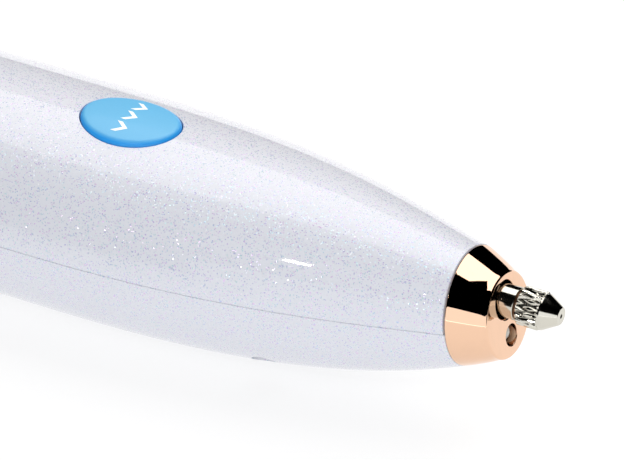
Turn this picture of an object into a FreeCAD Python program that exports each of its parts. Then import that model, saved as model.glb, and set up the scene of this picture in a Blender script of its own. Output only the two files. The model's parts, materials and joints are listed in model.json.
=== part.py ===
"""Hand-held 3D pen: a shell in two halves round a filament drive and a hot end.

Frame: millimetres, +X from the tail to the nozzle tip, +Z up, the pen lying on the flat under its
belly. The origin is on that flat, half way along the pen. Places along the pen are given as
distances behind the tip; heights are above the flat, and sides are along Y.
"""
import FreeCAD, Part
import math
import os
import re
import Sketcher

Vector = FreeCAD.Vector
Rotation = FreeCAD.Rotation

SIZES = {
    # the body: egg-shaped sections, widest at the parting plane
    "length": 185.0, "parting_height": 18.8, "wall": 2.0, "inset": 0.5, "shell_gap": 0.25,
    "nose_radius": 9.45, "body_top": 15.55, "body_belly": 19.2, "body_half_width": 20.45,
    "nose_run": 73.8, "top_power": 3.55, "top_ease": 1.3, "belly_power": 3.45, "belly_ease": 1.0,
    "side_power": 2.43, "side_ease": 1.14,
    "tail_start": 135.0, "tail_reach": 60.0, "tail_power": 2.4, "tail_seam": 174.0, "seam_gap": 0.05,
    # the nose cap
    "cap_face": 9.0, "cap_back": 15.0, "cap_face_radius": 6.9, "cap_edge": 0.6, "cap_wall": 1.3,
    "cap_spigot": 2.4, "cap_spigot_radius": 7.3, "cap_spigot_bore": 6.45,
    "nozzle_hole_radius": 3.05, "led_hole_radius": 1.75, "led_drop": 6.1,
    # the nozzle and the hot end
    "nozzle_rise": 2.7, "orifice_radius": 0.35, "orifice_length": 1.4, "taper_end": 2.8,
    "tip_radius": 1.48, "tip_edge": 0.12, "cone_length": 2.8, "knurl_radius": 3.1, "knurl_end": 6.6,
    "washer_radius": 2.3, "washer_thick": 0.5, "neck_radius": 2.6, "thread_radius": 1.5,
    "thread_length": 4.5, "thread_spare": 3.5, "thread_gap": 0.05, "filament_bore": 1.05,
    "barrel_end": 43.0, "barrel_flange": 4.2, "barrel_flange_thick": 2.0,
    "heater_start": 18.0, "heater_length": 18.0, "heater_radius": 3.6, "sleeve_thick": 1.0,
    "sleeve_start": 18.6, "thermistor_start": 19.5, "thermistor_radius": 0.8, "thermistor_length": 5.0,
    "thermistor_drop": 3.6, "thermistor_gap": 0.1, "notch_end": 26.0,
    "hot_mount_thick": 4.0, "hot_mount_half": 10.0, "hot_mount_low": 8.0, "hot_mount_high": 4.5,
    # the feed drive
    "feed_station": 56.0, "feed_radius": 4.0, "feed_width": 4.4, "feed_groove": 0.5,
    "groove_radius": 0.9, "nip": 1.2, "shaft_radius": 1.5, "running_gap": 0.03, "shaft_left": 5.6,
    "shaft_right": 9.3, "cheek_in": 4.0, "cheek_out": 5.3, "cheek_half": 7.0, "cheek_rise": 3.4,
    "frame_low": 7.85, "frame_floor": 2.0, "frame_screw_shift": 4.0, "frame_screw_reach": 5.0,
    "ear_half": 3.2, "ear_rise": 2.0, "pivot_station": 47.5, "pivot_rise": 5.4, "pivot_radius": 1.0,
    "lever_half": 3.7, "lever_front": 45.5, "lever_back": 64.2, "lever_low": 3.6, "lever_high": 7.0,
    "bearing_radius": 4.0, "bearing_half": 2.0, "bearing_bore": 1.5, "bearing_slot": 4.6,
    "bearing_gap": 0.2, "spring_station": 62.4, "spring_coil": 1.3, "spring_wire": 0.25,
    "spring_length": 2.9, "spring_turns": 3.0, "spring_play": 0.02, "spring_pad": 1.7,
    "motor_side": 11.0, "motor_radius": 5.5, "gearbox_front": 63.6, "gearbox_length": 14.0,
    "gearbox_bore": 9.0, "motor_length": 20.0, "motor_cap_length": 1.6, "motor_cap_edge": 0.6,
    "can_wall": 1.2, "can_floor": 3.0,
    "gearbox_shaft_radius": 1.0, "pinion_offset": 3.0,
    "gear_module": 0.6, "pinion_teeth": 12, "gear_teeth": 18, "gear_backlash": 0.16,
    "gear_face": 0.55, "gear_hub_radius": 3.2, "pinion_hub": 1.4, "gear_hub": 1.5,
    # what the lower shell holds them with
    "saddle_edge": 0.5, "seat_length": 6.0, "seat_half": 6.0,
    "cradle_thick": 3.0, "cradle_front": 77.0, "cradle_rear": 94.0, "cradle_drop": 2.0,
    # the guide for the filament, and the tail
    "tube_radius": 2.0, "tube_bore": 1.1, "feed_tube_end": 52.6, "guide_tube_start": 59.4,
    "guide_tube_end": 177.0, "bush_radius": 2.9, "bush_flange_radius": 3.9, "bush_flange_thick": 1.0,
    "bush_length": 8.0, "bush_bore": 1.3, "tail_face_wall": 2.0,
    "socket_height": 13.15, "socket_radius": 3.9, "socket_length": 12.0, "socket_bore": 2.85,
    "socket_depth": 9.5, "socket_pin_radius": 1.0, "socket_pin_sunk": 1.0,
    # the control board and what a finger works
    "board_front": 70.0, "board_back": 142.0, "board_half": 11.0, "board_thick": 1.2,
    "board_height": 24.65, "post_front": 82.0, "post_rear": 138.0, "post_side": 8.6, "post_radius": 2.2,
    "post_thread": 4.0, "board_screw_reach": 4.5,
    "out_station": 75.3, "in_station": 110.0, "button_long": 8.45, "button_short": 6.5,
    "button_gap": 0.15, "button_top": 35.1, "button_crown": 24.0, "button_floor": 30.45,
    "flange_rim": 1.1, "flange_thick": 0.9, "button_travel": 0.5, "stem_radius": 1.7,
    "switch_half": 3.0, "switch_height": 2.0, "plunger_radius": 1.5, "plunger_rise": 0.9,
    "plunger_depth": 0.9, "plunger_gap": 0.05, "plunger_stop": 0.1,
    "slider_station": 116.0, "slider_height": 5.0, "slider_tilt": 24.2, "slider_travel": 6.0,
    "slot_gap": 0.2, "slot_depth": 4.0, "knob_length": 7.0, "knob_width": 5.0, "knob_proud": 1.3,
    "knob_lift": 0.15, "knob_stem_length": 3.0, "knob_stem_width": 2.0, "knob_stem_sunk": 0.05,
    "pot_length": 24.0, "pot_width": 8.0, "pot_thick": 2.4, "pot_depth": 3.2,
    "controller_front": 90.0, "controller_half": 3.5, "controller_thick": 1.0,
    "driver_front": 123.0, "driver_left": -5.0, "driver_right": -1.0, "driver_thick": 1.5,
    "coil_front": 132.0, "coil_half": 2.5, "coil_thick": 3.0,
    "capacitor_front": 126.0, "capacitor_rear": 132.0, "capacitor_side": 6.0,
    "capacitor_radius": 2.0, "capacitor_height": 2.6,
    # fasteners
    "screw_radius": 1.0, "screw_gap": 0.1, "screw_head_radius": 1.9, "screw_head": 1.5,
    "screw_slot": 0.6, "screw_slot_depth": 0.5, "screw_ease": 0.01, "boss_radius": 3.0,
    "front_screws": 46.0, "rear_screws": 152.0, "front_screw_side": 10.5, "rear_screw_side": 11.0,
    "head_seat": 10.85, "screw_top": 24.85, "screw_end_gap": 0.5,
    # the indicator
    "led_radius": 1.5, "led_length": 5.2, "led_flange": 1.9, "led_flange_thick": 1.0, "led_sunk": 0.4,
    "led_board_thick": 1.0, "led_board_half": 2.8, "led_board_rise": 2.2,
}

# the section of the shell is worked out at these distances behind the tip
SHELL_STATIONS = (17, 20, 25, 32, 42, 55, 70, 90, 112, 135, 150, 162, 170, 178, 182)
# flanks and thickness of a gear tooth, in modules from the pitch line
TOOTH_FOOT, TOOTH_TOP, TOOTH_SPREAD, PRESSURE_ANGLE = 1.1, 0.8, 0.9, 20

UP = Rotation()
ALONG_X = Rotation(Vector(0, 1, 0), 90)
ALONG_Y = Rotation(Vector(1, 0, 0), -90)

# heights that follow from others
AXIS = "(parting_height + nozzle_rise)"
FEED = f"({AXIS} - nip / 2 - feed_radius)"
IDLER = f"({AXIS} + nip / 2 + bearing_radius)"
PIVOT = f"({AXIS} + pivot_rise)"
LEVER_TOP = f"({AXIS} + lever_high)"
BOARD_TOP = "(board_height + board_thick)"
SWITCH_TOP = f"({BOARD_TOP} + switch_height)"

doc = FreeCAD.newDocument("Pen")
sheet = doc.addObject("Spreadsheet::Sheet", "Sizes")
for row, (alias, size) in enumerate(SIZES.items(), start=1):
    sheet.set(f"A{row}", alias.replace("_", " "))
    sheet.set(f"B{row}", str(size))
    sheet.setAlias(f"B{row}", alias)
doc.recompute()
parts = {}


# ---------------------------------------------------------------- formulas on the sheet
def linked(text):
    """Point every size named in a formula at its cell of the sheet."""
    return re.sub(r"[a-z_]+", lambda word: f"Sizes.{word.group()}" if word.group() in SIZES
                  else word.group(), str(text))


def value(text):
    """Work out a formula on the sheet as a number."""
    return float(sheet.evalExpression(linked(text)))


def back(distance):
    """X of a place at a distance behind the tip."""
    return f"(length / 2 - ({distance}))"


def span(start, end):
    """Length from one place to another."""
    return f"(({end}) - ({start}))"


# ---------------------------------------------------------------- primitives
def solid(kind, place, turn=UP, **sizes):
    """One primitive whose sizes and place follow the sheet."""
    item = doc.addObject(kind, kind.split("::")[1] + "_blank")
    item.Placement = FreeCAD.Placement(Vector(), turn)
    for name, text in sizes.items():
        item.setExpression(name, linked(text))
    for letter, text in zip("xyz", place):
        item.setExpression(f"Placement.Base.{letter}", linked(text))
    return item


def lengthwise(radius, front, rear, height=AXIS, aside="0"):
    """Rod along X between two distances behind the tip."""
    return solid("Part::Cylinder", (back(rear), aside, height), ALONG_X,
                 Radius=radius, Height=span(front, rear))


def crosswise(radius, at, left, right, height):
    """Rod along Y between two sides."""
    return solid("Part::Cylinder", (back(at), left, height), ALONG_Y,
                 Radius=radius, Height=span(left, right))


def upright(radius, at, aside, low, high):
    """Rod along Z between two heights."""
    return solid("Part::Cylinder", (back(at), aside, low), Radius=radius, Height=span(low, high))


def block(front, rear, left, right, low, high):
    """Block between two distances behind the tip, two sides and two heights."""
    return solid("Part::Box", (back(rear), left, low),
                 Length=span(front, rear), Width=span(left, right), Height=span(low, high))


def oval(long_radius, short_radius, at, low, high):
    """Upright prism on an ellipse whose long axis is along X."""
    prism = doc.addObject("Part::Extrusion", "Oval_blank")
    prism.Base = solid("Part::Ellipse", (back(at), "0", low),
                       MajorRadius=long_radius, MinorRadius=short_radius)
    prism.DirMode = "Custom"
    prism.Dir = Vector(0, 0, 1)
    prism.Solid = True
    prism.setExpression("LengthFwd", linked(span(low, high)))
    return prism


def across_pen(radius, at, height):
    """Rod along Y that passes right through the pen."""
    return crosswise(radius, at, "-body_half_width", "body_half_width", height)


# ---------------------------------------------------------------- booleans and finished parts
def join(*items):
    """Fuse pieces into one."""
    fused = doc.addObject("Part::MultiFuse", "Joined")
    fused.Shapes = list(items)
    return fused


def cut(base, *tools):
    """Take tools away from a piece, one after another."""
    for tool in tools:
        step = doc.addObject("Part::Cut", "Hollowed")
        step.Base = base
        step.Tool = tool
        base = step
    return base


def common(first, second):
    """Keep what two pieces share."""
    shared = doc.addObject("Part::Common", "Shared")
    shared.Base = first
    shared.Tool = second
    return shared


def group(*items):
    """Separate identical solids that share one node."""
    together = doc.addObject("Part::Compound", "Group")
    together.Links = list(items)
    return together


def keep(label, item):
    """Name a finished sub-part."""
    item.Label = label
    parts[label] = item


def shaped(shape):
    """A feature for a form that no primitive or body gives."""
    item = doc.addObject("Part::Feature", "Formed")
    item.Shape = shape
    return item


# ---------------------------------------------------------------- turned bodies
def outline(body, corners):
    """Closed sketch on the XZ plane whose corners are formulas on the sheet."""
    drawing = body.newObject("Sketcher::SketchObject", "Outline")
    plane = next(face for face in body.Origin.OriginFeatures if face.Role == "XZ_Plane")
    drawing.AttachmentSupport = [(plane, "")]
    drawing.MapMode = "FlatFace"
    points = [Vector(value(across), value(up), 0) for across, up in corners]
    for index, point in enumerate(points):
        drawing.addGeometry(Part.LineSegment(point, points[(index + 1) % len(points)]), False)
    for index, (across, up) in enumerate(corners):
        following = (index + 1) % len(corners)
        drawing.addConstraint(Sketcher.Constraint("Coincident", index, 2, following, 1))
        for kind, text in (("DistanceX", across), ("DistanceY", up)):
            number = drawing.addConstraint(Sketcher.Constraint(kind, -1, 1, index, 1, value(text)))
            drawing.setExpression(f"Constraints[{number}]", linked(text))
    return drawing


def turned(profile, height=AXIS):
    """Body turned about a line along X; the profile is distances behind the tip and radii."""
    body = doc.addObject("PartDesign::Body", "Turned")
    drawing = outline(body, [(back(distance), radius) for distance, radius in profile])
    spin = body.newObject("PartDesign::Revolution", "Spin")
    spin.Profile = drawing
    spin.ReferenceAxis = (drawing, ["H_Axis"])
    spin.Angle = 360
    body.setExpression("Placement.Base.z", linked(height))
    return body


# ---------------------------------------------------------------- the egg-shaped shell
def swell(distance, full, power, ease):
    """Height or half-width of the body at a distance behind the tip."""
    run = min(max((distance - value("cap_back")) / value("nose_run"), 0), 1)
    nose = value("nose_radius") + (full - value("nose_radius")) * (1 - (1 - run) ** power) ** ease
    tail = max(distance - value("tail_start"), 0) / value("tail_reach")
    return nose * (1 - tail ** value("tail_power")) ** (1 / value("tail_power"))


def half_width(distance):
    """Half-width of the body at the parting plane."""
    return swell(distance, value("body_half_width"), value("side_power"), value("side_ease"))


def half_section(distance, side, inset):
    """Half an ellipse across the pen, over (side 1) or under (side -1) the parting plane."""
    name = "top" if side > 0 else "belly"
    rise = swell(distance, value(f"body_{name}"), value(f"{name}_power"), value(f"{name}_ease")) - inset
    reach = half_width(distance) - inset
    corner = math.sqrt(0.5)
    poles = [(reach, 0), (reach, rise), (0, rise), (-reach, rise), (-reach, 0)]
    curve = Part.BSplineCurve()
    curve.buildFromPolesMultsKnots([Vector(0, across, side * up) for across, up in poles], [3, 2, 3],
                                   [0, 0.5, 1], False, 2, [1, corner, 1, corner, 1])
    curve.translate(Vector(value(back(distance)), 0, value("parting_height")))
    return curve.toShape()


def section_wire(distance, side, outer, inner):
    """Closed section of the wall, or of the full half where inner is None."""
    outside = half_section(distance, side, outer)
    ends = [vertex.Point for vertex in outside.Vertexes]
    if inner is None:
        return Part.Wire([outside, Part.makeLine(ends[1], ends[0])])
    inside = half_section(distance, side, inner)
    feet = [vertex.Point for vertex in inside.Vertexes]
    return Part.Wire([outside, Part.makeLine(ends[1], feet[1]), inside, Part.makeLine(feet[0], ends[0])])


def half_shell(start, end, side, outer=0.0, inner=None):
    """Loft of one half of the body between two distances behind the tip."""
    stations = [start] + [at for at in SHELL_STATIONS if start + 1 < at < end - 1] + [end]
    return shaped(Part.makeLoft([section_wire(at, side, outer, inner) for at in stations], True))


def at_shell_screws(maker):
    """The same piece at each of the four shell screws."""
    return [maker(f"{row}_screws", f"{sign} * {row}_screw_side")
            for row in ("front", "rear") for sign in (1, -1)]


def at_board_posts(maker):
    """The same piece at each of the four posts that hold the board."""
    return [maker(f"post_{row}", f"{sign} * post_side") for row in ("front", "rear") for sign in (1, -1)]


def make_upper_shell():
    """Upper half with its screw bosses, board posts, spring pad, button openings and slot."""
    start, end = value("cap_back + shell_gap"), value("tail_seam")
    wall = half_shell(start, end, 1, inner=value("wall"))
    full = half_shell(start, end, 1, outer=value("inset"))
    roof = "parting_height + body_top"
    inner_pieces = [
        *at_shell_screws(lambda at, aside: upright("boss_radius", at, aside, "parting_height", roof)),
        *at_board_posts(lambda at, aside: upright("post_radius", at, aside, BOARD_TOP, roof)),
        upright("spring_pad", "spring_station", "0", f"{LEVER_TOP} + spring_length", roof)]
    shell = join(wall, common(join(*inner_pieces), full))
    openings = [oval("button_long + button_gap", "button_short + button_gap", at, BOARD_TOP, "button_top")
                for at in ("out_station", "in_station")]
    pilots = at_shell_screws(lambda at, aside: upright("screw_radius", at, aside, "parting_height",
                                                       "screw_top"))
    threads = at_board_posts(lambda at, aside: upright("screw_radius", at, aside, BOARD_TOP,
                                                       f"{BOARD_TOP} + post_thread"))
    keep("upper_shell", cut(shell, *openings, slider_slot(), *pilots, *threads))


def feed_seats():
    """Two raised pads under the feed frame, one each side of the feed wheel."""
    middles = [f"feed_station + {sign} * frame_screw_shift" for sign in (-1, 1)]
    return [block(f"{at} - seat_length / 2", f"{at} + seat_length / 2", "-seat_half", "seat_half",
                  "0", "frame_low") for at in middles]


def motor_cradles():
    """Two ribs that carry the motor and its gearbox."""
    return [block(at, f"{at} + cradle_thick", "motor_side - motor_radius", "motor_side + motor_radius",
                  "0", f"{FEED} - cradle_drop") for at in ("cradle_front", "cradle_rear")]


def make_lower_shell():
    """Lower half with bosses, cradles and seats, cut flat under the belly."""
    start, end = value("cap_back + spring_play"), value("tail_seam")
    wall = half_shell(start, end, -1, inner=value("wall"))
    full = half_shell(start, end, -1, outer=value("inset"))
    bosses = at_shell_screws(lambda at, aside: upright("boss_radius", at, aside, "0", "parting_height"))
    mount_back = "barrel_end - barrel_flange_thick"
    saddle = block(f"{mount_back} - hot_mount_thick - saddle_edge", f"{mount_back} + saddle_edge",
                   "-hot_mount_half", "hot_mount_half", "0", f"{AXIS} - hot_mount_low")
    shell = join(wall, common(join(*bosses, *motor_cradles(), *feed_seats(), saddle), full))
    motor = lengthwise("motor_radius + running_gap", "gearbox_front",
                       "gearbox_front + gearbox_length + motor_length", FEED, "motor_side")
    shafts = at_shell_screws(lambda at, aside: upright("screw_radius + screw_gap", at, aside, "0",
                                                       "parting_height"))
    heads = at_shell_screws(lambda at, aside: upright("screw_head_radius + 2 * screw_gap", at, aside,
                                                      "0", "head_seat"))
    threads = [upright("screw_radius", f"feed_station + {sign} * frame_screw_shift", "0",
                       "frame_low - frame_screw_reach", "frame_low") for sign in (-1, 1)]
    under = block("0", "length", "-body_half_width", "body_half_width", "-body_belly", "0")
    keep("lower_shell", cut(shell, motor, *shafts, *heads, *threads, under))


# ---------------------------------------------------------------- the speed slider
def slider_corner(inward, across, along):
    """Place in the tilted frame of the slider, measured inward from the skin of the shell."""
    tilt = math.radians(value("slider_tilt"))
    side = half_width(value("slider_station")) * math.sqrt(1 - value("slider_height / body_top") ** 2)
    return Vector(value(back("slider_station")) + value(along),
                  side - value(inward) * math.cos(tilt) - value(across) * math.sin(tilt),
                  value("parting_height + slider_height") - value(inward) * math.sin(tilt)
                  + value(across) * math.cos(tilt))


def slider_block(length, thick, width, inward):
    """Block in the slider's frame: length along X, thickness outward, width across."""
    item = doc.addObject("Part::Box", "Slider_blank")
    for name, text in (("Length", length), ("Width", thick), ("Height", width)):
        item.setExpression(name, linked(text))
    corner = slider_corner(inward, f"-({width}) / 2", f"-({length}) / 2")
    item.Placement = FreeCAD.Placement(corner, Rotation(Vector(1, 0, 0), value("slider_tilt")))
    return item


def slider_slot():
    """Slot in the upper shell that the stem of the knob slides along."""
    return slider_block("knob_stem_length + 2 * slider_travel + 3 * slot_gap", "2 * slot_depth",
                        "knob_stem_width + 2 * slot_gap", "slot_depth")


def make_slider():
    """Knob over the slot, with its stem reaching the sliding potentiometer inside."""
    cap = slider_block("knob_length", "knob_proud", "knob_width", "-knob_lift")
    stem = slider_block("knob_stem_length", "pot_depth + knob_lift", "knob_stem_width",
                        "pot_depth - knob_stem_sunk")
    keep("speed_knob", join(cap, stem))
    keep("speed_potentiometer", slider_block("pot_length", "pot_thick", "pot_width",
                                             "pot_depth + pot_thick"))


# ---------------------------------------------------------------- nose cap and hot end
def make_nose_cap():
    """Flared cap with the nozzle hole, the indicator hole and a spigot inside the shells."""
    body = turned([
        ("cap_face", "0"), ("cap_face", "cap_face_radius - cap_edge"),
        ("cap_face + cap_edge", "cap_face_radius"), ("cap_back", "nose_radius"),
        ("cap_back", "cap_spigot_radius"), ("cap_back + cap_spigot", "cap_spigot_radius"),
        ("cap_back + cap_spigot", "cap_spigot_bore"), ("cap_back", "cap_spigot_bore"),
        ("cap_face + cap_wall", "cap_face_radius - cap_wall"), ("cap_face + cap_wall", "0")],
        "parting_height")
    nozzle_hole = lengthwise("nozzle_hole_radius", "0", "cap_back")
    led_hole = lengthwise("led_hole_radius", "0", "cap_back", f"{AXIS} - led_drop")
    keep("nose_cap", cut(body, nozzle_hole, led_hole))


def make_nozzle():
    """Conical nozzle with a knurled collar, screwed into the barrel on a washer."""
    shank_end = "knurl_end + thread_length"
    keep("nozzle", turned([
        ("0", "orifice_radius"), ("0", "tip_radius - tip_edge"), ("tip_edge", "tip_radius"),
        ("cone_length", "knurl_radius"), ("knurl_end", "knurl_radius"), ("knurl_end", "thread_radius"),
        (shank_end, "thread_radius"), (shank_end, "filament_bore"), ("taper_end", "filament_bore"),
        ("orifice_length", "orifice_radius")]))
    washer_end = "knurl_end + washer_thick"
    hole = "thread_radius + thread_gap"
    keep("nozzle_washer", turned([("knurl_end", hole), ("knurl_end", "washer_radius"),
                                  (washer_end, "washer_radius"), (washer_end, hole)]))


def make_heater():
    """Barrel with its heater sleeve, insulation, thermistor and the plate that holds it."""
    front, flange_front = "knurl_end + washer_thick", "barrel_end - barrel_flange_thick"
    thread_end = "knurl_end + thread_length + thread_spare"
    hole = "thread_radius + thread_gap"
    keep("heater_barrel", turned([
        (front, hole), (front, "neck_radius"), (flange_front, "neck_radius"),
        (flange_front, "barrel_flange"), ("barrel_end", "barrel_flange"), ("barrel_end", "filament_bore"),
        (thread_end, "filament_bore"), (thread_end, hole)]))
    heater_end = "heater_start + heater_length"
    place = f"{AXIS} - thermistor_drop"
    notch = lengthwise("thermistor_radius + thermistor_gap", "0", "notch_end", place)
    barrel = lengthwise("neck_radius", "0", "length")
    heater = lengthwise("heater_radius", "heater_start", heater_end)
    wrap = lengthwise("heater_radius + sleeve_thick", "sleeve_start", heater_end)
    keep("heater_sleeve", cut(heater, barrel, notch))
    keep("insulation_sleeve", cut(wrap, lengthwise("heater_radius", "0", "length"), notch))
    keep("thermistor", lengthwise("thermistor_radius", "thermistor_start",
                                  "thermistor_start + thermistor_length", place))
    plate = block(f"{flange_front} - hot_mount_thick", flange_front, "-hot_mount_half", "hot_mount_half",
                  f"{AXIS} - hot_mount_low", f"{AXIS} + hot_mount_high")
    keep("hot_end_mount", cut(plate, barrel))


def make_tube(label, front, rear):
    """Low-friction tube for the filament between two distances behind the tip."""
    keep(label, cut(lengthwise("tube_radius", front, rear), lengthwise("tube_bore", "0", "length")))


# ---------------------------------------------------------------- feed drive
def gear_wire(teeth, pitch_radius, phase, scale):
    """Outline of a straight-flanked gear, with its teeth thinned for backlash."""
    module = 2 * pitch_radius / teeth
    slope = math.tan(math.radians(PRESSURE_ANGLE))
    half_tooth = math.pi * module / 4 - value("gear_backlash") / 2
    steps = [(-TOOTH_FOOT * module, TOOTH_FOOT * module * slope), (0, 0),
             (TOOTH_TOP * module, -TOOTH_SPREAD * module * slope)]
    flank = [(pitch_radius + rise, (half_tooth + spread) / (pitch_radius + rise)) for rise, spread in steps]
    points = []
    for tooth in range(teeth):
        middle = phase + 2 * math.pi * tooth / teeth
        for side, order in ((-1, flank), (1, reversed(flank))):
            points += [Vector(scale * radius * math.cos(middle + side * half),
                              scale * radius * math.sin(middle + side * half), 0)
                       for radius, half in order]
    return Part.makePolygon(points + points[:1])


def bevel_gear(teeth, mate_teeth, phase, bore, hub_length, turn):
    """Bevel gear of a pair whose axes cross at the apex, turned from +Z onto its own axis."""
    module = value("gear_module")
    distance = module * mate_teeth / 2
    wires = []
    for scale in (1.0, value("gear_face")):
        wire = gear_wire(teeth, module * teeth / 2, phase, scale)
        wire.translate(Vector(0, 0, distance * scale))
        wires.append(wire)
    hub_radius = value("gear_hub_radius") * min(1, teeth / mate_teeth)
    hub = Part.makeCylinder(hub_radius, hub_length, Vector(0, 0, distance))
    blank = Part.makeLoft(wires, True, True).fuse(hub)
    gear = shaped(blank.cut(Part.makeCylinder(bore, 2 * distance + hub_length)).removeSplitter())
    apex = Vector(value(back("feed_station")), value("motor_side"), value(FEED))
    gear.Placement = FreeCAD.Placement(apex, turn)
    return gear


def make_gears():
    """Pinion on the gearbox shaft and its mate on the feed shaft, a tooth against a gap."""
    pinion, gear = int(value("pinion_teeth")), int(value("gear_teeth"))
    keep("drive_pinion", bevel_gear(pinion, gear, math.pi / 2, value("gearbox_shaft_radius"),
                                    value("pinion_hub"), Rotation(Vector(0, 1, 0), -90)))
    keep("feed_gear", bevel_gear(gear, pinion, math.pi + math.pi / gear, value("shaft_radius"),
                                 value("gear_hub"), Rotation(Vector(1, 0, 0), 90)))


def make_feed_roller():
    """Grooved feed wheel on its shaft."""
    keep("feed_shaft", crosswise("shaft_radius", "feed_station", "-shaft_left", "shaft_right", FEED))
    wheel = crosswise("feed_radius", "feed_station", "-feed_width / 2", "feed_width / 2", FEED)
    groove = solid("Part::Torus", (back("feed_station"), "0", FEED), ALONG_Y,
                   Radius1="feed_radius + feed_groove", Radius2="groove_radius")
    keep("feed_wheel", cut(wheel, groove, across_pen("shaft_radius", "feed_station", FEED)))


def make_feed_frame():
    """Folded frame: two cheeks for the shaft, two ears for the idler's pin and a floor."""
    cheeks = []
    for left, right in (("-cheek_out", "-cheek_in"), ("cheek_in", "cheek_out")):
        cheeks.append(block("feed_station - cheek_half", "feed_station + cheek_half", left, right,
                            "frame_low", f"{FEED} + cheek_rise"))
        cheeks.append(block("pivot_station - ear_half", "pivot_station + ear_half", left, right,
                            "frame_low", f"{PIVOT} + ear_rise"))
    floor = block("pivot_station - ear_half", "feed_station + cheek_half", "-cheek_out", "cheek_out",
                  "frame_low", "frame_low + frame_floor")
    screws = [f"feed_station + {sign} * frame_screw_shift" for sign in (-1, 1)]
    holes = [upright("screw_radius", at, "0", "0", FEED) for at in screws]
    keep("feed_frame", cut(join(*cheeks, floor),
                           across_pen("shaft_radius + running_gap", "feed_station", FEED),
                           across_pen("pivot_radius", "pivot_station", PIVOT), *holes))
    keep("lever_pin", crosswise("pivot_radius", "pivot_station", "-cheek_out", "cheek_out", PIVOT))
    keep("frame_screws", group(*[screw(at, "0", "frame_low + frame_floor", value("frame_screw_reach"))
                                 for at in screws]))


def make_idler():
    """Sprung lever with the bearing that presses the filament on the feed wheel."""
    arm = block("lever_front", "lever_back", "-lever_half", "lever_half", f"{AXIS} + lever_low", LEVER_TOP)
    slot_half = "bearing_half + bearing_gap"
    slot = block("feed_station - bearing_slot", "feed_station + bearing_slot", f"-({slot_half})",
                 slot_half, AXIS, f"{LEVER_TOP} + bearing_radius")
    keep("idler_lever", cut(arm, slot, across_pen("pivot_radius + running_gap", "pivot_station", PIVOT),
                            across_pen("bearing_bore", "feed_station", IDLER)))
    keep("idler_axle", crosswise("bearing_bore", "feed_station", "-lever_half", "lever_half", IDLER))
    ring = crosswise("bearing_radius", "feed_station", "-bearing_half", "bearing_half", IDLER)
    keep("idler_bearing", cut(ring, across_pen("bearing_bore + running_gap", "feed_station", IDLER)))


def make_spring():
    """Compression spring between the lever and the pad under the upper shell."""
    low = f"{LEVER_TOP} + spring_wire + spring_play"
    rise = "(spring_length - 2 * (spring_wire + spring_play))"
    helix = solid("Part::Helix", (back("spring_station"), "0", low), Radius="spring_coil",
                  Height=rise, Pitch=f"{rise} / spring_turns", SegmentLength="0.25")
    ring = solid("Part::Circle", (f"{back('spring_station')} + spring_coil", "0", low),
                 Rotation(Vector(1, 0, 0), 90), Radius="spring_wire")
    coil = doc.addObject("Part::Sweep", "Coil")
    coil.Sections = [ring]
    coil.Spine = (helix, [])
    coil.Solid = True
    coil.Frenet = True
    keep("idler_spring", coil)


def make_motor():
    """Motor with its gearbox and output shaft, beside the filament's path."""
    gearbox_end = "gearbox_front + gearbox_length"
    motor_end = f"{gearbox_end} + motor_length"
    bore_end = "gearbox_front + gearbox_bore"
    case = lengthwise("motor_radius", "gearbox_front", gearbox_end, FEED, "motor_side")
    bore = lengthwise("gearbox_shaft_radius + running_gap", "gearbox_front", bore_end, FEED, "motor_side")
    chamber = lengthwise("motor_radius - can_wall", "gearbox_front + can_floor", gearbox_end, FEED,
                         "motor_side")
    keep("gearbox_case", cut(case, bore, chamber))
    keep("gearbox_shaft", lengthwise("gearbox_shaft_radius", "feed_station + pinion_offset",
                                     f"{bore_end} - screw_gap", FEED, "motor_side"))
    can = lengthwise("motor_radius", gearbox_end, motor_end, FEED, "motor_side")
    hollow = lengthwise("motor_radius - can_wall", f"{gearbox_end} + can_floor", motor_end, FEED,
                        "motor_side")
    keep("motor_case", cut(can, hollow))
    keep("motor_end_cap", lengthwise("motor_radius - motor_cap_edge", motor_end,
                                     f"{motor_end} + motor_cap_length", FEED, "motor_side"))


# ---------------------------------------------------------------- tail
def make_tail():
    """Rounded cap behind the shells with the filament bush and the power socket."""
    start, end = value("tail_seam + seam_gap"), value("length")
    halves = [half_shell(start, end, side) for side in (1, -1)]
    hollows = [half_shell(start - 1, end - value("tail_face_wall"), side, outer=value("wall"))
               for side in (1, -1)]
    under = block("0", "length", "-body_half_width", "body_half_width", "-body_belly", "0")
    holes = [lengthwise("socket_radius", "length - socket_length", "length + 1", "socket_height"),
             lengthwise("bush_radius", "length - bush_length", "length + 1")]
    keep("tail_cap", cut(join(*halves), *hollows, under, *holes))
    inside = "length - tail_face_wall"
    bush = join(lengthwise("bush_radius", "length - bush_length", "length"),
                lengthwise("bush_flange_radius", f"{inside} - bush_flange_thick", inside))
    keep("inlet_bush", cut(bush, lengthwise("bush_bore", "length - 2 * bush_length", "length + 1")))
    well_end = "length - socket_depth"
    keep("power_socket", cut(lengthwise("socket_radius", "length - socket_length", "length",
                                        "socket_height"),
                             lengthwise("socket_bore", well_end, "length + 1", "socket_height")))
    keep("socket_pin", lengthwise("socket_pin_radius", well_end, "length - socket_pin_sunk",
                                  "socket_height"))


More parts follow.
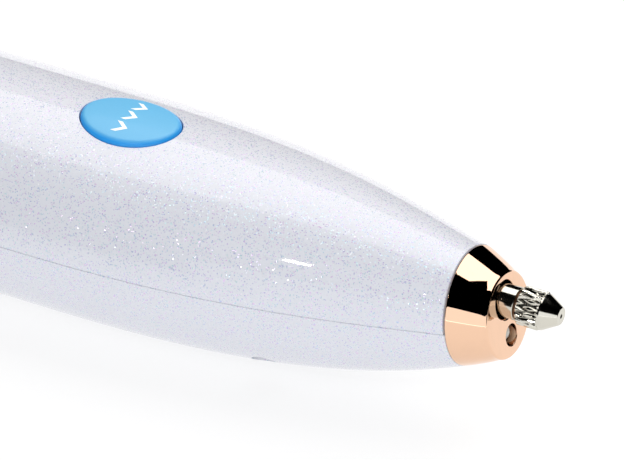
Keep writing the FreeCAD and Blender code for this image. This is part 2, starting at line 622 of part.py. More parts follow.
# ---------------------------------------------------------------- controls
def make_button(name, at):
    """Oval crowned button with a rim under the shell and a stem, over its switch."""
    tall = oval("button_long", "button_short", at, "button_floor", "button_top + button_travel")
    crown = lengthwise("button_crown", f"{at} - 2 * button_long", f"{at} + 2 * button_long",
                       "button_top - button_crown")
    rim = oval("button_long + flange_rim", "button_short + flange_rim", at,
               "button_floor - flange_thick", "button_floor")
    stem = upright("stem_radius", at, "0", f"{SWITCH_TOP} + plunger_rise", "button_floor")
    keep(f"{name}_button", join(common(tall, crown), rim, stem))
    plunger_low = f"{SWITCH_TOP} - plunger_depth"
    case = block(f"{at} - switch_half", f"{at} + switch_half", "-switch_half", "switch_half",
                 BOARD_TOP, SWITCH_TOP)
    well = upright("plunger_radius + plunger_gap", at, "0", plunger_low, f"{SWITCH_TOP} + 1")
    keep(f"{name}_switch", cut(case, well))
    keep(f"{name}_plunger", upright("plunger_radius", at, "0",
                                    f"{plunger_low} + button_travel + plunger_stop",
                                    f"{SWITCH_TOP} + plunger_rise"))


def make_board():
    """Control board on its four posts, with the larger components."""
    plate = block("board_front", "board_back", "-board_half", "board_half", "board_height", BOARD_TOP)
    holes = at_board_posts(lambda at, aside: upright("screw_radius", at, aside, "0", BOARD_TOP))
    keep("circuit_board", cut(plate, *holes))
    reach = -value("board_screw_reach")
    keep("board_screws", group(*at_board_posts(lambda at, aside: screw(at, aside, "board_height", reach))))
    keep("controller_chip", block("controller_front", "controller_front + 2 * controller_half",
                                  "-controller_half", "controller_half", BOARD_TOP,
                                  f"{BOARD_TOP} + controller_thick"))
    keep("driver_chip", block("driver_front", "driver_front + driver_right - driver_left",
                              "driver_left", "driver_right", BOARD_TOP, f"{BOARD_TOP} + driver_thick"))
    keep("regulator_coil", block("coil_front", "coil_front + 2 * coil_half", "-coil_half", "coil_half",
                                 BOARD_TOP, f"{BOARD_TOP} + coil_thick"))
    keep("power_capacitors", group(*[upright("capacitor_radius", at, "capacitor_side", BOARD_TOP,
                                             f"{BOARD_TOP} + capacitor_height")
                                     for at in ("capacitor_front", "capacitor_rear")]))


def screw(at, aside, seat, reach):
    """Screw with a slotted head on a seat; it runs down, or up where its reach is negative."""
    low, high = (f"{seat} - {reach}", seat) if reach > 0 else (seat, f"{seat} + {-reach}")
    shank = upright("screw_radius - screw_ease", at, aside, low, high)
    outward = "+" if reach > 0 else "-"
    face = f"{seat} {outward} screw_head"
    bottom, top = (seat, face) if reach > 0 else (face, seat)
    head = upright("screw_head_radius", at, aside, bottom, top)
    slot_low, slot_high = ((f"{face} - screw_slot_depth", f"{face} + 1") if reach > 0
                           else (f"{face} - 1", f"{face} + screw_slot_depth"))
    slot = block(f"{at} - screw_slot / 2", f"{at} + screw_slot / 2", f"{aside} - 2 * screw_head_radius",
                 f"{aside} + 2 * screw_head_radius", slot_low, slot_high)
    return cut(join(shank, head), slot)


def make_screws():
    """The four screws that hold the shells together, driven from below."""
    reach = value("head_seat + screw_end_gap - screw_top")
    keep("shell_screws", group(*at_shell_screws(lambda at, aside: screw(at, aside, "head_seat", reach))))


def make_led():
    """Indicator behind its hole in the nose cap, on a small board of its own."""
    height = f"({AXIS} - led_drop)"
    dome = "(cap_face + led_sunk + led_radius)"
    rear = f"({dome} + led_length - led_radius)"
    keep("nose_led", join(lengthwise("led_radius", dome, rear, height),
                          solid("Part::Sphere", (back(dome), "0", height), Radius="led_radius"),
                          lengthwise("led_flange", f"{rear} - led_flange_thick", rear, height)))
    keep("led_board", block(rear, f"{rear} + led_board_thick", "-led_board_half", "led_board_half",
                            f"{height} - led_board_rise", f"{height} + led_board_rise"))


make_upper_shell()
make_lower_shell()
make_slider()
make_nose_cap()
make_nozzle()
make_heater()
make_tube("feed_tube", "barrel_end", "feed_tube_end")
make_tube("guide_tube", "guide_tube_start", "guide_tube_end")
make_feed_roller()
make_feed_frame()
make_gears()
make_idler()
make_spring()
make_motor()
make_tail()
for name in ("out", "in"):
    make_button(name, f"{name}_station")
make_board()
make_screws()
make_led()

doc.recompute()
for item in doc.Objects:
    if {"Invalid", "Error"} & set(item.State):
        raise RuntimeError(f"{item.Label} failed: {item.State}")
os.makedirs("parts", exist_ok=True)
for label, item in parts.items():
    if item.Shape.isNull() or not item.Shape.isValid():
        raise RuntimeError(f"{label} has no valid shape")
    item.Shape.exportStep(f"parts/{label}.step")
    print(f"{label:20s} {item.Shape.Volume:9.1f} mm3, {len(item.Shape.Solids)} solids")
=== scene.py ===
"""Visual model of a hand-held 3D pen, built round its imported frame.

Sizes are millimetres unless a name says otherwise. Places along the pen are distances behind the
nozzle tip, and x, y, z are the frame's own axes: +X to the tip, +Z up.
"""

import json
import logging
import math
from dataclasses import dataclass, field
from enum import Enum
from functools import cache
from typing import Iterable, Sequence, Union

import bmesh
import bpy
from mathutils import Matrix, Vector


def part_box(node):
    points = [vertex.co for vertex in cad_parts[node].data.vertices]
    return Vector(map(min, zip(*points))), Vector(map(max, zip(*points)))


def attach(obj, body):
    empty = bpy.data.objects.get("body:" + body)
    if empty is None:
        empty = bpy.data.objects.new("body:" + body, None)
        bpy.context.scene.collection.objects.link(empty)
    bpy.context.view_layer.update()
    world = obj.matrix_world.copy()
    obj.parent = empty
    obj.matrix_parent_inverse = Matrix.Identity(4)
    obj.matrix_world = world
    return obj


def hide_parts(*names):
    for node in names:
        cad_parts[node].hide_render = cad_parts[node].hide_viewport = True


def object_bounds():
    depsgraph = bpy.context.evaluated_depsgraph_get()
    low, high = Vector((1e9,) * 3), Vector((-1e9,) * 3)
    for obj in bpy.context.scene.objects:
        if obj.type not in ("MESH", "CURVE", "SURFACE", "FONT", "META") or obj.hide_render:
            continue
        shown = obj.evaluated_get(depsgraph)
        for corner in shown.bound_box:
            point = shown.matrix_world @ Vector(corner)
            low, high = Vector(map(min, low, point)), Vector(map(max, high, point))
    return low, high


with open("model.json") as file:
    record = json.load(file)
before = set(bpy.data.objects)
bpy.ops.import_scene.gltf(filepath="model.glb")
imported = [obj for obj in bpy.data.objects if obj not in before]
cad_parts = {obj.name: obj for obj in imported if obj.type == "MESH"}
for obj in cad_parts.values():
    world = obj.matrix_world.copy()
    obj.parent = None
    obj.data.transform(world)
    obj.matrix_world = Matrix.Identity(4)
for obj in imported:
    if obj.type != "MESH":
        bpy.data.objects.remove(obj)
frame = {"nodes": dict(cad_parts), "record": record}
CAD_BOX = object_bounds()

MM = 0.001
TIP_X = CAD_BOX[1][0] / MM
TAIL_X = CAD_BOX[0][0] / MM
LENGTH = TIP_X - TAIL_X
TURN = 2 * math.pi
WATTS_PER_RADIANCE = 4.0
COAT_ROUGHNESS = 0.03
EPOXY_INDEX = 1.5

Pair = tuple[float, float]
Point = tuple[float, float, float]
Color = tuple[float, float, float]
Object = bpy.types.Object
Node = bpy.types.Node
log = logging.getLogger("pen")


def behind(distance: float) -> float:
    """X of a place at a distance behind the tip."""
    return TIP_X - distance


def middle(node: str) -> Vector:
    """Centre of a CAD node's box."""
    low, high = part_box(node)
    return (Vector(low) + Vector(high)) / (2 * MM)


def extent(node: str) -> Vector:
    """Length, width and height of a CAD node's box."""
    low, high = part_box(node)
    return (Vector(high) - Vector(low)) / MM


AXIS_Z = middle("nozzle").z
PARTING_Z = middle("nose_cap").z


# ---------------------------------------------------------------- node graphs
class Signal:
    """A socket that takes part in maths written as Python expressions."""

    def __init__(self, graph: "Graph", socket: bpy.types.NodeSocket) -> None:
        """Hold one output socket of a graph."""
        self.graph = graph
        self.socket = socket

    def math(self, operation: str, *operands: "Term") -> "Signal":
        """Put this signal and other terms through one Math node."""
        return self.graph.math(operation, self, *operands)

    def __add__(self, other: "Term") -> "Signal":
        """Sum."""
        return self.math("ADD", other)

    __radd__ = __add__

    def __sub__(self, other: "Term") -> "Signal":
        """Difference."""
        return self.math("SUBTRACT", other)

    def __rsub__(self, other: "Term") -> "Signal":
        """Difference from a number."""
        return self.graph.math("SUBTRACT", other, self)

    def __mul__(self, other: "Term") -> "Signal":
        """Product."""
        return self.math("MULTIPLY", other)

    __rmul__ = __mul__

    def __truediv__(self, other: "Term") -> "Signal":
        """Quotient."""
        return self.math("DIVIDE", other)

    def smaller(self, other: "Term") -> "Signal":
        """The smaller of two terms."""
        return self.math("MINIMUM", other)

    def larger(self, other: "Term") -> "Signal":
        """The larger of two terms."""
        return self.math("MAXIMUM", other)

    def clamped(self) -> "Signal":
        """This signal kept between 0 and 1."""
        return self.larger(0.0).smaller(1.0)

    def triangle(self) -> "Signal":
        """A wave that rises from 0 to 1 and falls back once per unit."""
        return 1 - (2 * self.math("FRACT") - 1).math("ABSOLUTE")


Term = Union[Signal, float]


class Graph:
    """A shader or geometry tree whose nodes come from one method."""

    def __init__(self, tree: bpy.types.NodeTree) -> None:
        """Empty a tree and work on it."""
        self.tree = tree
        tree.nodes.clear()

    def node(self, kind: str, settings: dict | None = None, inputs: dict | None = None) -> Node:
        """Add a node.

        Args:
            kind: The node's type name.
            settings: Properties set first; "stops" gives a colour ramp's (place, colour) pairs.
            inputs: Values or signals by socket name or index.

        Returns:
            The new node.
        """
        node = self.tree.nodes.new(kind)
        for name, setting in (settings or {}).items():
            if name == "stops":
                self._set_stops(node.color_ramp, setting)
            else:
                setattr(node, name, setting)
        for key, value in (inputs or {}).items():
            if isinstance(value, Signal):
                self.tree.links.new(value.socket, node.inputs[key])
            else:
                node.inputs[key].default_value = value
        return node

    @staticmethod
    def _set_stops(ramp: bpy.types.ColorRamp, stops: Sequence[tuple[float, Color]]) -> None:
        """Give a ramp its stops."""
        while len(ramp.elements) < len(stops):
            ramp.elements.new(1.0)
        for element, (place, color) in zip(ramp.elements, stops):
            element.position = place
            element.color = (*color, 1.0)

    def signal(self, kind: str, settings: dict | None = None, inputs: dict | None = None,
               output: int | str = 0) -> Signal:
        """Add a node and return one of its outputs as a signal."""
        return Signal(self, self.node(kind, settings, inputs).outputs[output])

    def math(self, operation: str, *operands: Term) -> Signal:
        """Put terms through one Math node."""
        return self.signal("ShaderNodeMath", {"operation": operation}, dict(enumerate(operands)))

    def vector_math(self, operation: str, *operands: "Signal | Point") -> Signal:
        """Put vectors through one Vector Math node."""
        return self.signal("ShaderNodeVectorMath", {"operation": operation}, dict(enumerate(operands)))

    def scaled(self, vector: Signal, factor: Term) -> Signal:
        """Scale a vector."""
        return self.signal("ShaderNodeVectorMath", {"operation": "SCALE"}, {0: vector, "Scale": factor})

    def blend(self, factor: Term, first: "Signal | Color", second: "Signal | Color") -> Signal:
        """Mix two colours."""
        sides = [(*side, 1.0) if isinstance(side, tuple) else side for side in (first, second)]
        return self.signal("ShaderNodeMix", {"data_type": "RGBA"}, {0: factor, 6: sides[0], 7: sides[1]},
                           output=2)


# ---------------------------------------------------------------- finishes
class Surface:
    """A shader under construction and the place on the piece that its patterns read."""

    def __init__(self, graph: Graph, shader: Node) -> None:
        """Hold the shader and read the object's own coordinates."""
        self.graph = graph
        self.shader = shader
        self.place = graph.signal("ShaderNodeTexCoord", output="Object")

    def noise(self, size: float, detail: float = 3.0, stretch: Point = (1.0, 1.0, 1.0)) -> Signal:
        """Noise whose features are about a given size, stretched along the axes."""
        drawn = self.graph.signal("ShaderNodeMapping", inputs={"Vector": self.place, "Scale": stretch})
        return self.graph.signal("ShaderNodeTexNoise", inputs={
            "Vector": drawn, "Scale": 1 / (size * MM), "Detail": detail}, output="Fac")

    def axes(self, count: int) -> list[Signal]:
        """The first few coordinates of the place."""
        parts = self.graph.node("ShaderNodeSeparateXYZ", inputs={0: self.place})
        return [Signal(self.graph, parts.outputs[index]) for index in range(count)]

    def link(self, socket: str, signal: Signal) -> None:
        """Lead a signal to one of the shader's sockets."""
        self.graph.tree.links.new(signal.socket, self.shader.inputs[socket])

    def color(self, factor: Signal, first: "Signal | Color", second: "Signal | Color") -> None:
        """Blend two colours over the surface."""
        self.link("Base Color", self.graph.blend(factor, first, second))

    def bump(self, height: Signal, strength: float, distance: float = 0.05) -> None:
        """Lead a height to the shader's normal."""
        self.link("Normal", self.graph.signal("ShaderNodeBump", inputs={
            "Strength": strength, "Distance": distance * MM, "Height": height}, output="Normal"))


@dataclass(frozen=True)
class Finish:
    """What every finish has: a colour, a gloss and fine unevenness in both.

    Attributes:
        name: Name of the material.
        color: Linear base colour.
        roughness: Roughness of the surface.
        metallic: 1 for bare or plated metal.
        coat: Weight of a clear layer on top.
        grain: Size of the unevenness.
        uneven: How much the roughness varies.
        shade: How much darker the colour is in its dark patches.
        relief: Height of the fine relief, as the bump's strength.
        coat_index: Refractive index of the clear layer.
    """
    name: str
    color: Color
    roughness: float
    metallic: float = 0.0
    coat: float = 0.0
    grain: float = 0.6
    uneven: float = 0.06
    shade: float = 0.06
    relief: float = 0.04
    coat_index: float = 1.5

    @property
    def dark(self) -> Color:
        """Colour of the dark patches."""
        return tuple(channel * (1 - self.shade) for channel in self.color)

    @cache
    def material(self) -> bpy.types.Material:
        """Build the material once and return it."""
        material = bpy.data.materials.new(self.name)
        material.use_nodes = True
        graph = Graph(material.node_tree)
        shader = graph.node("ShaderNodeBsdfPrincipled", inputs={
            "Base Color": (*self.color, 1.0), "Roughness": self.roughness, "Metallic": self.metallic,
            "Coat Weight": self.coat, "Coat Roughness": COAT_ROUGHNESS, "Coat IOR": self.coat_index})
        self.paint(Surface(graph, shader))
        output = graph.node("ShaderNodeOutputMaterial")
        graph.tree.links.new(shader.outputs[0], output.inputs["Surface"])
        return material

    def gloss(self, surface: Surface, grain: Signal) -> None:
        """Vary the roughness about its mean, and the relief, by one grain."""
        surface.link("Roughness", (grain - 0.5) * self.uneven + self.roughness)
        surface.bump(grain, self.relief)

    def paint(self, surface: Surface) -> None:
        """Add the unevenness: broad patches in the colour and fine grain in gloss and relief."""
        surface.color(surface.noise(self.grain * 12, 4.0), self.color, self.dark)
        self.gloss(surface, surface.noise(self.grain))


@dataclass(frozen=True)
class PearlLacquer(Finish):
    """White pearl lacquer: tilted flakes under a clear coat.

    Attributes:
        flake: Width of a flake.
        tilt: How far a flake may lean.
        tint: How much of its own colour a flake shows.
        flake_share: Share of the surface that flakes cover.
        flake_gloss: How much smoother a flake is than the lacquer.
        flake_metal: How much more metallic it is.
        cloud: Size of the soft patches in the colour.
    """
    flake: float = 0.17
    tilt: float = 0.46
    tint: float = 0.30
    flake_share: float = 0.16
    flake_gloss: float = 0.26
    flake_metal: float = 0.16
    cloud: float = 14.0

    def paint(self, surface: Surface) -> None:
        """Scatter flakes that lean and tint by a random value of their own."""
        graph = surface.graph
        cell = graph.signal("ShaderNodeTexVoronoi", {"feature": "F1"},
                            {"Vector": surface.place, "Scale": 1 / (self.flake * MM)}, output="Color")
        chance = graph.signal("ShaderNodeSeparateColor", inputs={0: cell}, output=2)
        shows = chance.math("GREATER_THAN", 1 - self.flake_share)
        base = graph.blend(surface.noise(self.cloud, 2.0), self.color, self.dark)
        surface.color(shows * self.tint, base, cell)
        surface.link("Roughness", self.roughness - shows * self.flake_gloss)
        surface.link("Metallic", shows * self.flake_metal + self.metallic)
        lean = graph.scaled(graph.vector_math("SUBTRACT", cell, (0.5, 0.5, 0.5)), shows * self.tilt)
        flat = graph.signal("ShaderNodeNewGeometry", output="Normal")
        surface.link("Normal", graph.vector_math("NORMALIZE", graph.vector_math("ADD", flat, lean)))


@dataclass(frozen=True)
class SideShadedPlastic(Finish):
    """Clear-tinted plastic with painted shade that darkens and deepens its colour where its surface turns
    away from up.

    Attributes:
        deep: Colour of the painted shade on the steep sides.
        side_shading: How fast the painted shade deepens as the surface turns.
    """
    deep: Color = (0.0, 0.3, 0.7)
    side_shading: float = 2.2

    def paint(self, surface: Surface) -> None:
        """Paint shade on the sides that turn away from up and roughen the surface finely."""
        graph = surface.graph
        turned = graph.signal("ShaderNodeTexCoord", output="Normal")
        upward = graph.signal("ShaderNodeSeparateXYZ", inputs={0: turned}, output=2)
        fine = surface.noise(self.grain)
        # painted shade: the colour goes to the deep blue as the surface turns away from facing up
        surface.color(((1 - upward) * self.side_shading).clamped(), graph.blend(fine, self.color, self.dark),
                      self.deep)
        self.gloss(surface, fine)


@dataclass(frozen=True)
class MirrorPlating(Finish):
    """Bright plating over polished metal, with faint handling smears in its gloss.

    Attributes:
        contrast: How sharply a smear stands out.
        spare: Share of the surface that smears leave free, times the contrast.
    """
    contrast: float = 2.4
    spare: float = 1.1

    def paint(self, surface: Surface) -> None:
        """Smear the gloss in soft patches and ripple the surface very slightly."""
        smear = surface.noise(self.grain * 5, 3.0, (1.0, 2.5, 1.0))
        patch = (smear * self.contrast - self.spare).clamped()
        surface.link("Roughness", patch * self.uneven + self.roughness)
        surface.color(patch, self.color, self.dark)
        surface.bump(surface.noise(self.grain, 2.0), self.relief)


@dataclass(frozen=True)
class TurnedMetal(Finish):
    """Metal with the fine rings that a lathe leaves round the X axis."""

    def paint(self, surface: Surface) -> None:
        """Draw fine rings in gloss and relief over broad patches of colour."""
        surface.color(surface.noise(self.grain * 8), self.color, self.dark)
        self.gloss(surface, surface.noise(self.grain, 3.0, (6.0, 0.4, 0.4)))


@dataclass(frozen=True)
class WovenSleeve(Finish):
    """Braided glass fibre round the heater.

    Attributes:
        strand: Width of a strand.
    """
    strand: float = 0.5

    def paint(self, surface: Surface) -> None:
        """Cross two slanting families of strands, with painted shade in the recessed gaps between them."""
        along, aside, up = surface.axes(3)
        around = (aside + up) / (self.strand * MM)
        reach = along / (self.strand * MM)
        weave = (around + reach).triangle().larger((around - reach).triangle())
        # painted shade: the colour darkens in the recessed gaps between strands, where the relief is lowest
        surface.color(weave, self.dark, self.color)
        surface.bump(weave, self.relief, 0.1)


@dataclass(frozen=True)
class CircuitLacquer(Finish):
    """Solder mask with faint tracks under it.

    Attributes:
        track: Distance from track to track.
        brighter: How much brighter the tracks are.
        lane_from: Where in the wave between two tracks a long track starts.
        cross_from: The same for the tracks across the board.
    """
    track: float = 1.2
    brighter: float = 1.8
    lane_from: float = 0.72
    cross_from: float = 0.9

    def paint(self, surface: Surface) -> None:
        """Draw tracks along both directions of the board."""
        along, aside = surface.axes(2)
        lanes = (aside / (self.track * MM)).triangle().math("GREATER_THAN", self.lane_from)
        crossing = (along / (self.track * 3 * MM)).triangle().math("GREATER_THAN", self.cross_from)
        track = lanes.larger(crossing)
        surface.color(track, self.color, tuple(min(1.0, channel * self.brighter) for channel in self.color))
        surface.bump(track, self.relief)


@dataclass(frozen=True)
class ClearLens(Finish):
    """Clear epoxy of an indicator, a little milky.

    Attributes:
        transmission: Share of the light that passes.
    """
    transmission: float = 0.3

    @cache
    def material(self) -> bpy.types.Material:
        """Build the material and let light through it."""
        material = super().material()
        shader = principled(material)
        shader.inputs["Transmission Weight"].default_value = self.transmission
        shader.inputs["IOR"].default_value = EPOXY_INDEX
        return material


def principled(material: bpy.types.Material) -> Node:
    """A material's shader."""
    return next(node for node in material.node_tree.nodes if node.type == "BSDF_PRINCIPLED")


class Look(Enum):
    """The finishes of the pen, one for each kind of surface."""
    SHELL = PearlLacquer("pearl_lacquer", (0.645, 0.66, 0.715), 0.45, 0.05, coat=1.0, shade=0.02,
                         coat_index=1.36)
    ROSE = MirrorPlating("rose_gold", (0.86, 0.57, 0.40), 0.02, 1.0, uneven=0.02, shade=0.03, relief=0.003)
    NICKEL = MirrorPlating("nickel_plating", (0.64, 0.62, 0.55), 0.10, 1.0, uneven=0.10, relief=0.03)
    NECK = TurnedMetal("bright_nickel", (0.64, 0.62, 0.55), 0.12, 1.0, grain=0.2, uneven=0.06, relief=0.02)
    # the button finish paints shade on the sides that turn away from up
    BUTTON = SideShadedPlastic("button_plastic", (0.125, 0.45, 0.73), 0.42, coat=0.15, grain=0.25, relief=0.03,
                         deep=(0.01, 0.30, 0.78))
    MARK = Finish("mark_ink", (0.90, 0.93, 0.95), 0.55, grain=0.2, shade=0.03, relief=0.05)
    PALE = Finish("cream_plastic", (0.80, 0.80, 0.77), 0.45, grain=0.3)
    DARK = Finish("black_plastic", (0.018, 0.018, 0.022), 0.5, grain=0.25, uneven=0.12, relief=0.12)
    STEEL = TurnedMetal("bright_steel", (0.52, 0.52, 0.53), 0.28, 1.0, grain=0.3, uneven=0.14)
    BRASS = TurnedMetal("cut_brass", (0.72, 0.52, 0.20), 0.26, 1.0, grain=0.25, uneven=0.12)
    COPPER = TurnedMetal("copper_washer", (0.14, 0.07, 0.04), 0.40, 1.0, grain=0.2, shade=0.3)
    CERAMIC = Finish("heater_ceramic", (0.78, 0.75, 0.68), 0.75, grain=0.4, relief=0.2)
    # the braid's dark colour is painted shade in the gaps between its strands
    WEAVE = WovenSleeve("glass_braid", (0.75, 0.70, 0.58), 0.8, shade=0.4, relief=0.6)
    TUBING = Finish("slick_tube", (0.84, 0.84, 0.82), 0.35, grain=0.5)
    BOARD = CircuitLacquer("circuit_lacquer", (0.010, 0.070, 0.025), 0.35, relief=0.2)
    LENS = ClearLens("indicator_lens", (0.85, 0.86, 0.80), 0.12, grain=0.3, shade=0.04)
    FRAME = TurnedMetal("folded_aluminium", (0.62, 0.63, 0.64), 0.34, 1.0, grain=0.4, uneven=0.16)


SLOT_LOOKS = {
    "shell": Look.SHELL, "rose_plating": Look.ROSE, "nozzle_plating": Look.NECK, "button": Look.BUTTON,
    "pale_plastic": Look.PALE, "dark_plastic": Look.DARK, "steel": Look.STEEL, "brass": Look.BRASS,
    "copper": Look.COPPER, "ceramic": Look.CERAMIC, "glass_fibre": Look.WEAVE, "tubing": Look.TUBING,
    "board": Look.BOARD, "lens": Look.LENS, "frame": Look.FRAME,
}


# ---------------------------------------------------------------- meshes
def quarter(steps: int) -> list[float]:
    """Angles from 0 to a right angle."""
    return [math.pi / 2 * k / steps for k in range(steps + 1)]


def place_object(name: str, data: bpy.types.ID) -> Object:
    """Make an object of some data and link it to the scene."""
    made = bpy.data.objects.new(name, data)
    bpy.context.scene.collection.objects.link(made)
    return made


def band(near: int, far: int, count: int) -> list[tuple[int, ...]]:
    """Quads between two closed loops, from the number of each loop's first corner."""
    return [(near + k, near + (k + 1) % count, far + (k + 1) % count, far + k) for k in range(count)]


class Mesher:
    """Makes closed meshes from loops of points, and cuts and joins them."""

    @staticmethod
    def piece(name: str, points: Iterable[Sequence[float]], faces: Sequence[Sequence[int]]) -> Object:
        """Make an object of points and faces, with its faces pointing outwards.

        Args:
            name: Name of the object.
            points: Corners.
            faces: Corner numbers of each face, all turning the same way.

        Returns:
            The object, linked to the scene.
        """
        data = bpy.data.meshes.new(name)
        data.from_pydata([tuple(value * MM for value in point) for point in points], [], list(faces))
        Mesher.point_outwards(data)
        return place_object(name, data)

    @staticmethod
    def point_outwards(data: bpy.types.Mesh) -> None:
        """Merge doubles and turn every face if the volume comes out negative."""
        work = bmesh.new()
        work.from_mesh(data)
        bmesh.ops.remove_doubles(work, verts=work.verts, dist=1e-7)
        if work.calc_volume(signed=True) < 0:
            bmesh.ops.reverse_faces(work, faces=work.faces)
        work.to_mesh(data)
        work.free()

    @staticmethod
    def skin(name: str, loops: Sequence[Sequence[Sequence[float]]], wrap: bool = False) -> Object:
        """Join equal closed loops with quads.

        Args:
            name: Name of the object.
            loops: Loops of points, all of one length; a loop of one repeated point makes a pole.
            wrap: Whether the last loop joins the first.

        Returns:
            The object.
        """
        count = len(loops[0])
        points = [point for loop in loops for point in loop]
        faces = []
        for index in range(len(loops) if wrap else len(loops) - 1):
            faces += band(index * count, (index + 1) % len(loops) * count, count)
        return Mesher.piece(name, points, faces)

    @staticmethod
    def lathe(name: str, profile: Sequence[Pair], height: float = AXIS_Z, steps: int = 96,
              aside: float = 0.0, closed: bool = True) -> Object:
        """Turn a profile about a line along X.

        Args:
            name: Name of the object.
            profile: Distances behind the tip and radii.
            height: Height of the line.
            steps: Points round the line.
            aside: Y of the line.
            closed: Whether the profile is a ring of its own; otherwise its ends have radius 0.

        Returns:
            The object.
        """
        loops = [[(behind(distance), aside + radius * math.cos(TURN * k / steps),
                   height + radius * math.sin(TURN * k / steps)) for k in range(steps)]
                 for distance, radius in profile]
        return Mesher.skin(name, loops, wrap=closed)

    @staticmethod
    def upright(name: str, profile: Sequence[Pair], x: float, y: float,
                steps: int = 48) -> Object:
        """Turn a profile of heights and radii, its ends at radius 0, about an upright line."""
        loops = [[(x + radius * math.cos(TURN * k / steps), y + radius * math.sin(TURN * k / steps), height)
                  for k in range(steps)] for height, radius in profile]
        return Mesher.skin(name, loops)

    @staticmethod
    def settle(target: Object) -> Object:
        """Turn an object's modifiers into a plain mesh."""
        graph = bpy.context.evaluated_depsgraph_get()
        plain = bpy.data.meshes.new_from_object(target.evaluated_get(graph))
        target.modifiers.clear()
        target.data = plain
        return target

    @staticmethod
    def carve(target: Object, tools: Sequence[Object], operation: str = "DIFFERENCE"
              ) -> Object:
        """Cut tools from a piece, or join them to it, and remove the tools."""
        for tool in tools:
            change = target.modifiers.new("carve", "BOOLEAN")
            change.operation = operation
            change.solver = "MANIFOLD"
            change.object = tool
        Mesher.settle(target)
        for tool in tools:
            bpy.data.objects.remove(tool)
        return target

    @staticmethod
    def smooth(target: Object, angle: float = 32.0, weighted: bool = True) -> Object:
        """Shade smoothly up to an angle in degrees, with large faces leading where weighted."""
        work = bmesh.new()
        work.from_mesh(target.data)
        bmesh.ops.dissolve_degenerate(work, dist=2e-7, edges=work.edges)
        for face in work.faces:
            face.smooth = True
        for edge in work.edges:
            edge.smooth = len(edge.link_faces) == 2 and edge.calc_face_angle(0.0) < math.radians(angle)
        work.to_mesh(target.data)
        work.free()
        if weighted:
            change = target.modifiers.new("weigh", "WEIGHTED_NORMAL")
            change.keep_sharp = True
            change.weight = 80
            Mesher.settle(target)
        return target


def dress(piece: Object, look: Look, body: str, slot: str, *nodes: str) -> None:
    """Finish a piece: its material, its body and the CAD nodes that it stands for."""
    piece.data.materials.clear()
    piece.data.materials.append(look.value.material())
    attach(piece, body)
    if nodes:
        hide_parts(*nodes)
    log.info("%s: %d faces on %s", piece.name, len(piece.data.polygons), body)


def rounded(start: Pair, end: Pair, corner: Pair, steps: int = 5
            ) -> list[Pair]:
    """Points on a quarter turn from start to end that bulges towards a corner."""
    return [tuple(s + e - c + (c - e) * math.cos(turn) + (c - s) * math.sin(turn)
                  for s, e, c in zip(start, end, corner)) for turn in quarter(steps)]


# ---------------------------------------------------------------- the shells
class Side(Enum):
    """The two halves of the shell, as the sign of their height over the parting plane."""
    UPPER = 1
    LOWER = -1


@dataclass
class EggForm:
    """The outer form of the body: half ellipses that swell from the cap and close at the tail."""
    start: float = 15.0
    nose_radius: float = 9.45
    reach: float = 73.8
    top: tuple[float, float, float] = (15.55, 3.55, 1.3)
    belly: tuple[float, float, float] = (19.2, 3.45, 1.0)
    width: tuple[float, float, float] = (20.45, 2.43, 1.14)
    tail_start: float = 135.0
    tail_reach: float = 60.0
    tail_power: float = 2.4
    rear_lean: float = 0.10
    face_lean: float = 0.17
    lean_reach: float = 32.0
    cap_length: float = 6.0

    def lean(self, distance: float) -> float:
        """How far a section leans back at its top, per unit of height, round the cap's joint."""
        if distance < self.start:
            share = (self.start - distance) / self.cap_length
            return self.rear_lean + (self.face_lean - self.rear_lean) * share
        return self.rear_lean * max(0.0, 1 - (distance - self.start) / self.lean_reach) ** 2

    def leaned_x(self, distance: float, height: float) -> float:
        """X of a point of a leaning section."""
        return behind(distance) + self.lean(distance) * (PARTING_Z - height)

    def swell(self, distance: float, measure: tuple[float, float, float]) -> float:
        """Height or half-width at a distance behind the tip, from its full size, power and ease."""
        full, power, ease = measure
        run = min(max((distance - self.start) / self.reach, 0.0), 1.0)
        nose = self.nose_radius + (full - self.nose_radius) * (1 - (1 - run) ** power) ** ease
        tail = max(distance - self.tail_start, 0.0) / self.tail_reach
        return nose * (1 - tail ** self.tail_power) ** (1 / self.tail_power)

    def radii(self, distance: float, side: Side) -> Pair:
        """Half-width and height of one half."""
        return (self.swell(distance, self.width),
                self.swell(distance, self.top if side is Side.UPPER else self.belly))

    def skin_height(self, distance: float, y: float) -> float:
        """Height of the upper skin over a point."""
        wide, tall = self.radii(distance, Side.UPPER)
        return PARTING_Z + tall * math.sqrt(max(0.0, 1 - (y / wide) ** 2))

    def off_skin(self, point: Vector) -> tuple[float, Vector]:
        """How far a point is off the skin, as a share of its radius, and the outward direction there."""
        up = point.z - PARTING_Z
        distance = TIP_X - point.x
        for _ in range(3):
            distance = TIP_X - point.x - self.lean(distance) * up
        side = Side.UPPER if up > 0 else Side.LOWER
        wide, tall = self.radii(distance, side)
        step = 0.01
        wide_next, tall_next = self.radii(distance + step, side)
        across, rise = point.y / wide, up / tall
        slope = (across * across * (wide_next - wide) / wide + rise * rise * (tall_next - tall) / tall) / step
        upward = rise / tall + slope * self.lean(distance)
        return across * across + rise * rise - 1, Vector((slope, across / wide, upward)).normalized()

    def section(self, distance: float, side: Side, inset: float, angles: Sequence[float], lift: float
                ) -> list[Point]:
        """Points of one half section, none below the flat under the belly."""
        wide, tall = self.radii(distance, side)
        points = []
        for angle in angles:
            height = max(PARTING_Z + side.value * max((tall - inset) * math.sin(angle), lift), inset)
            points.append((self.leaned_x(distance, height), (wide - inset) * math.cos(angle), height))
        return points


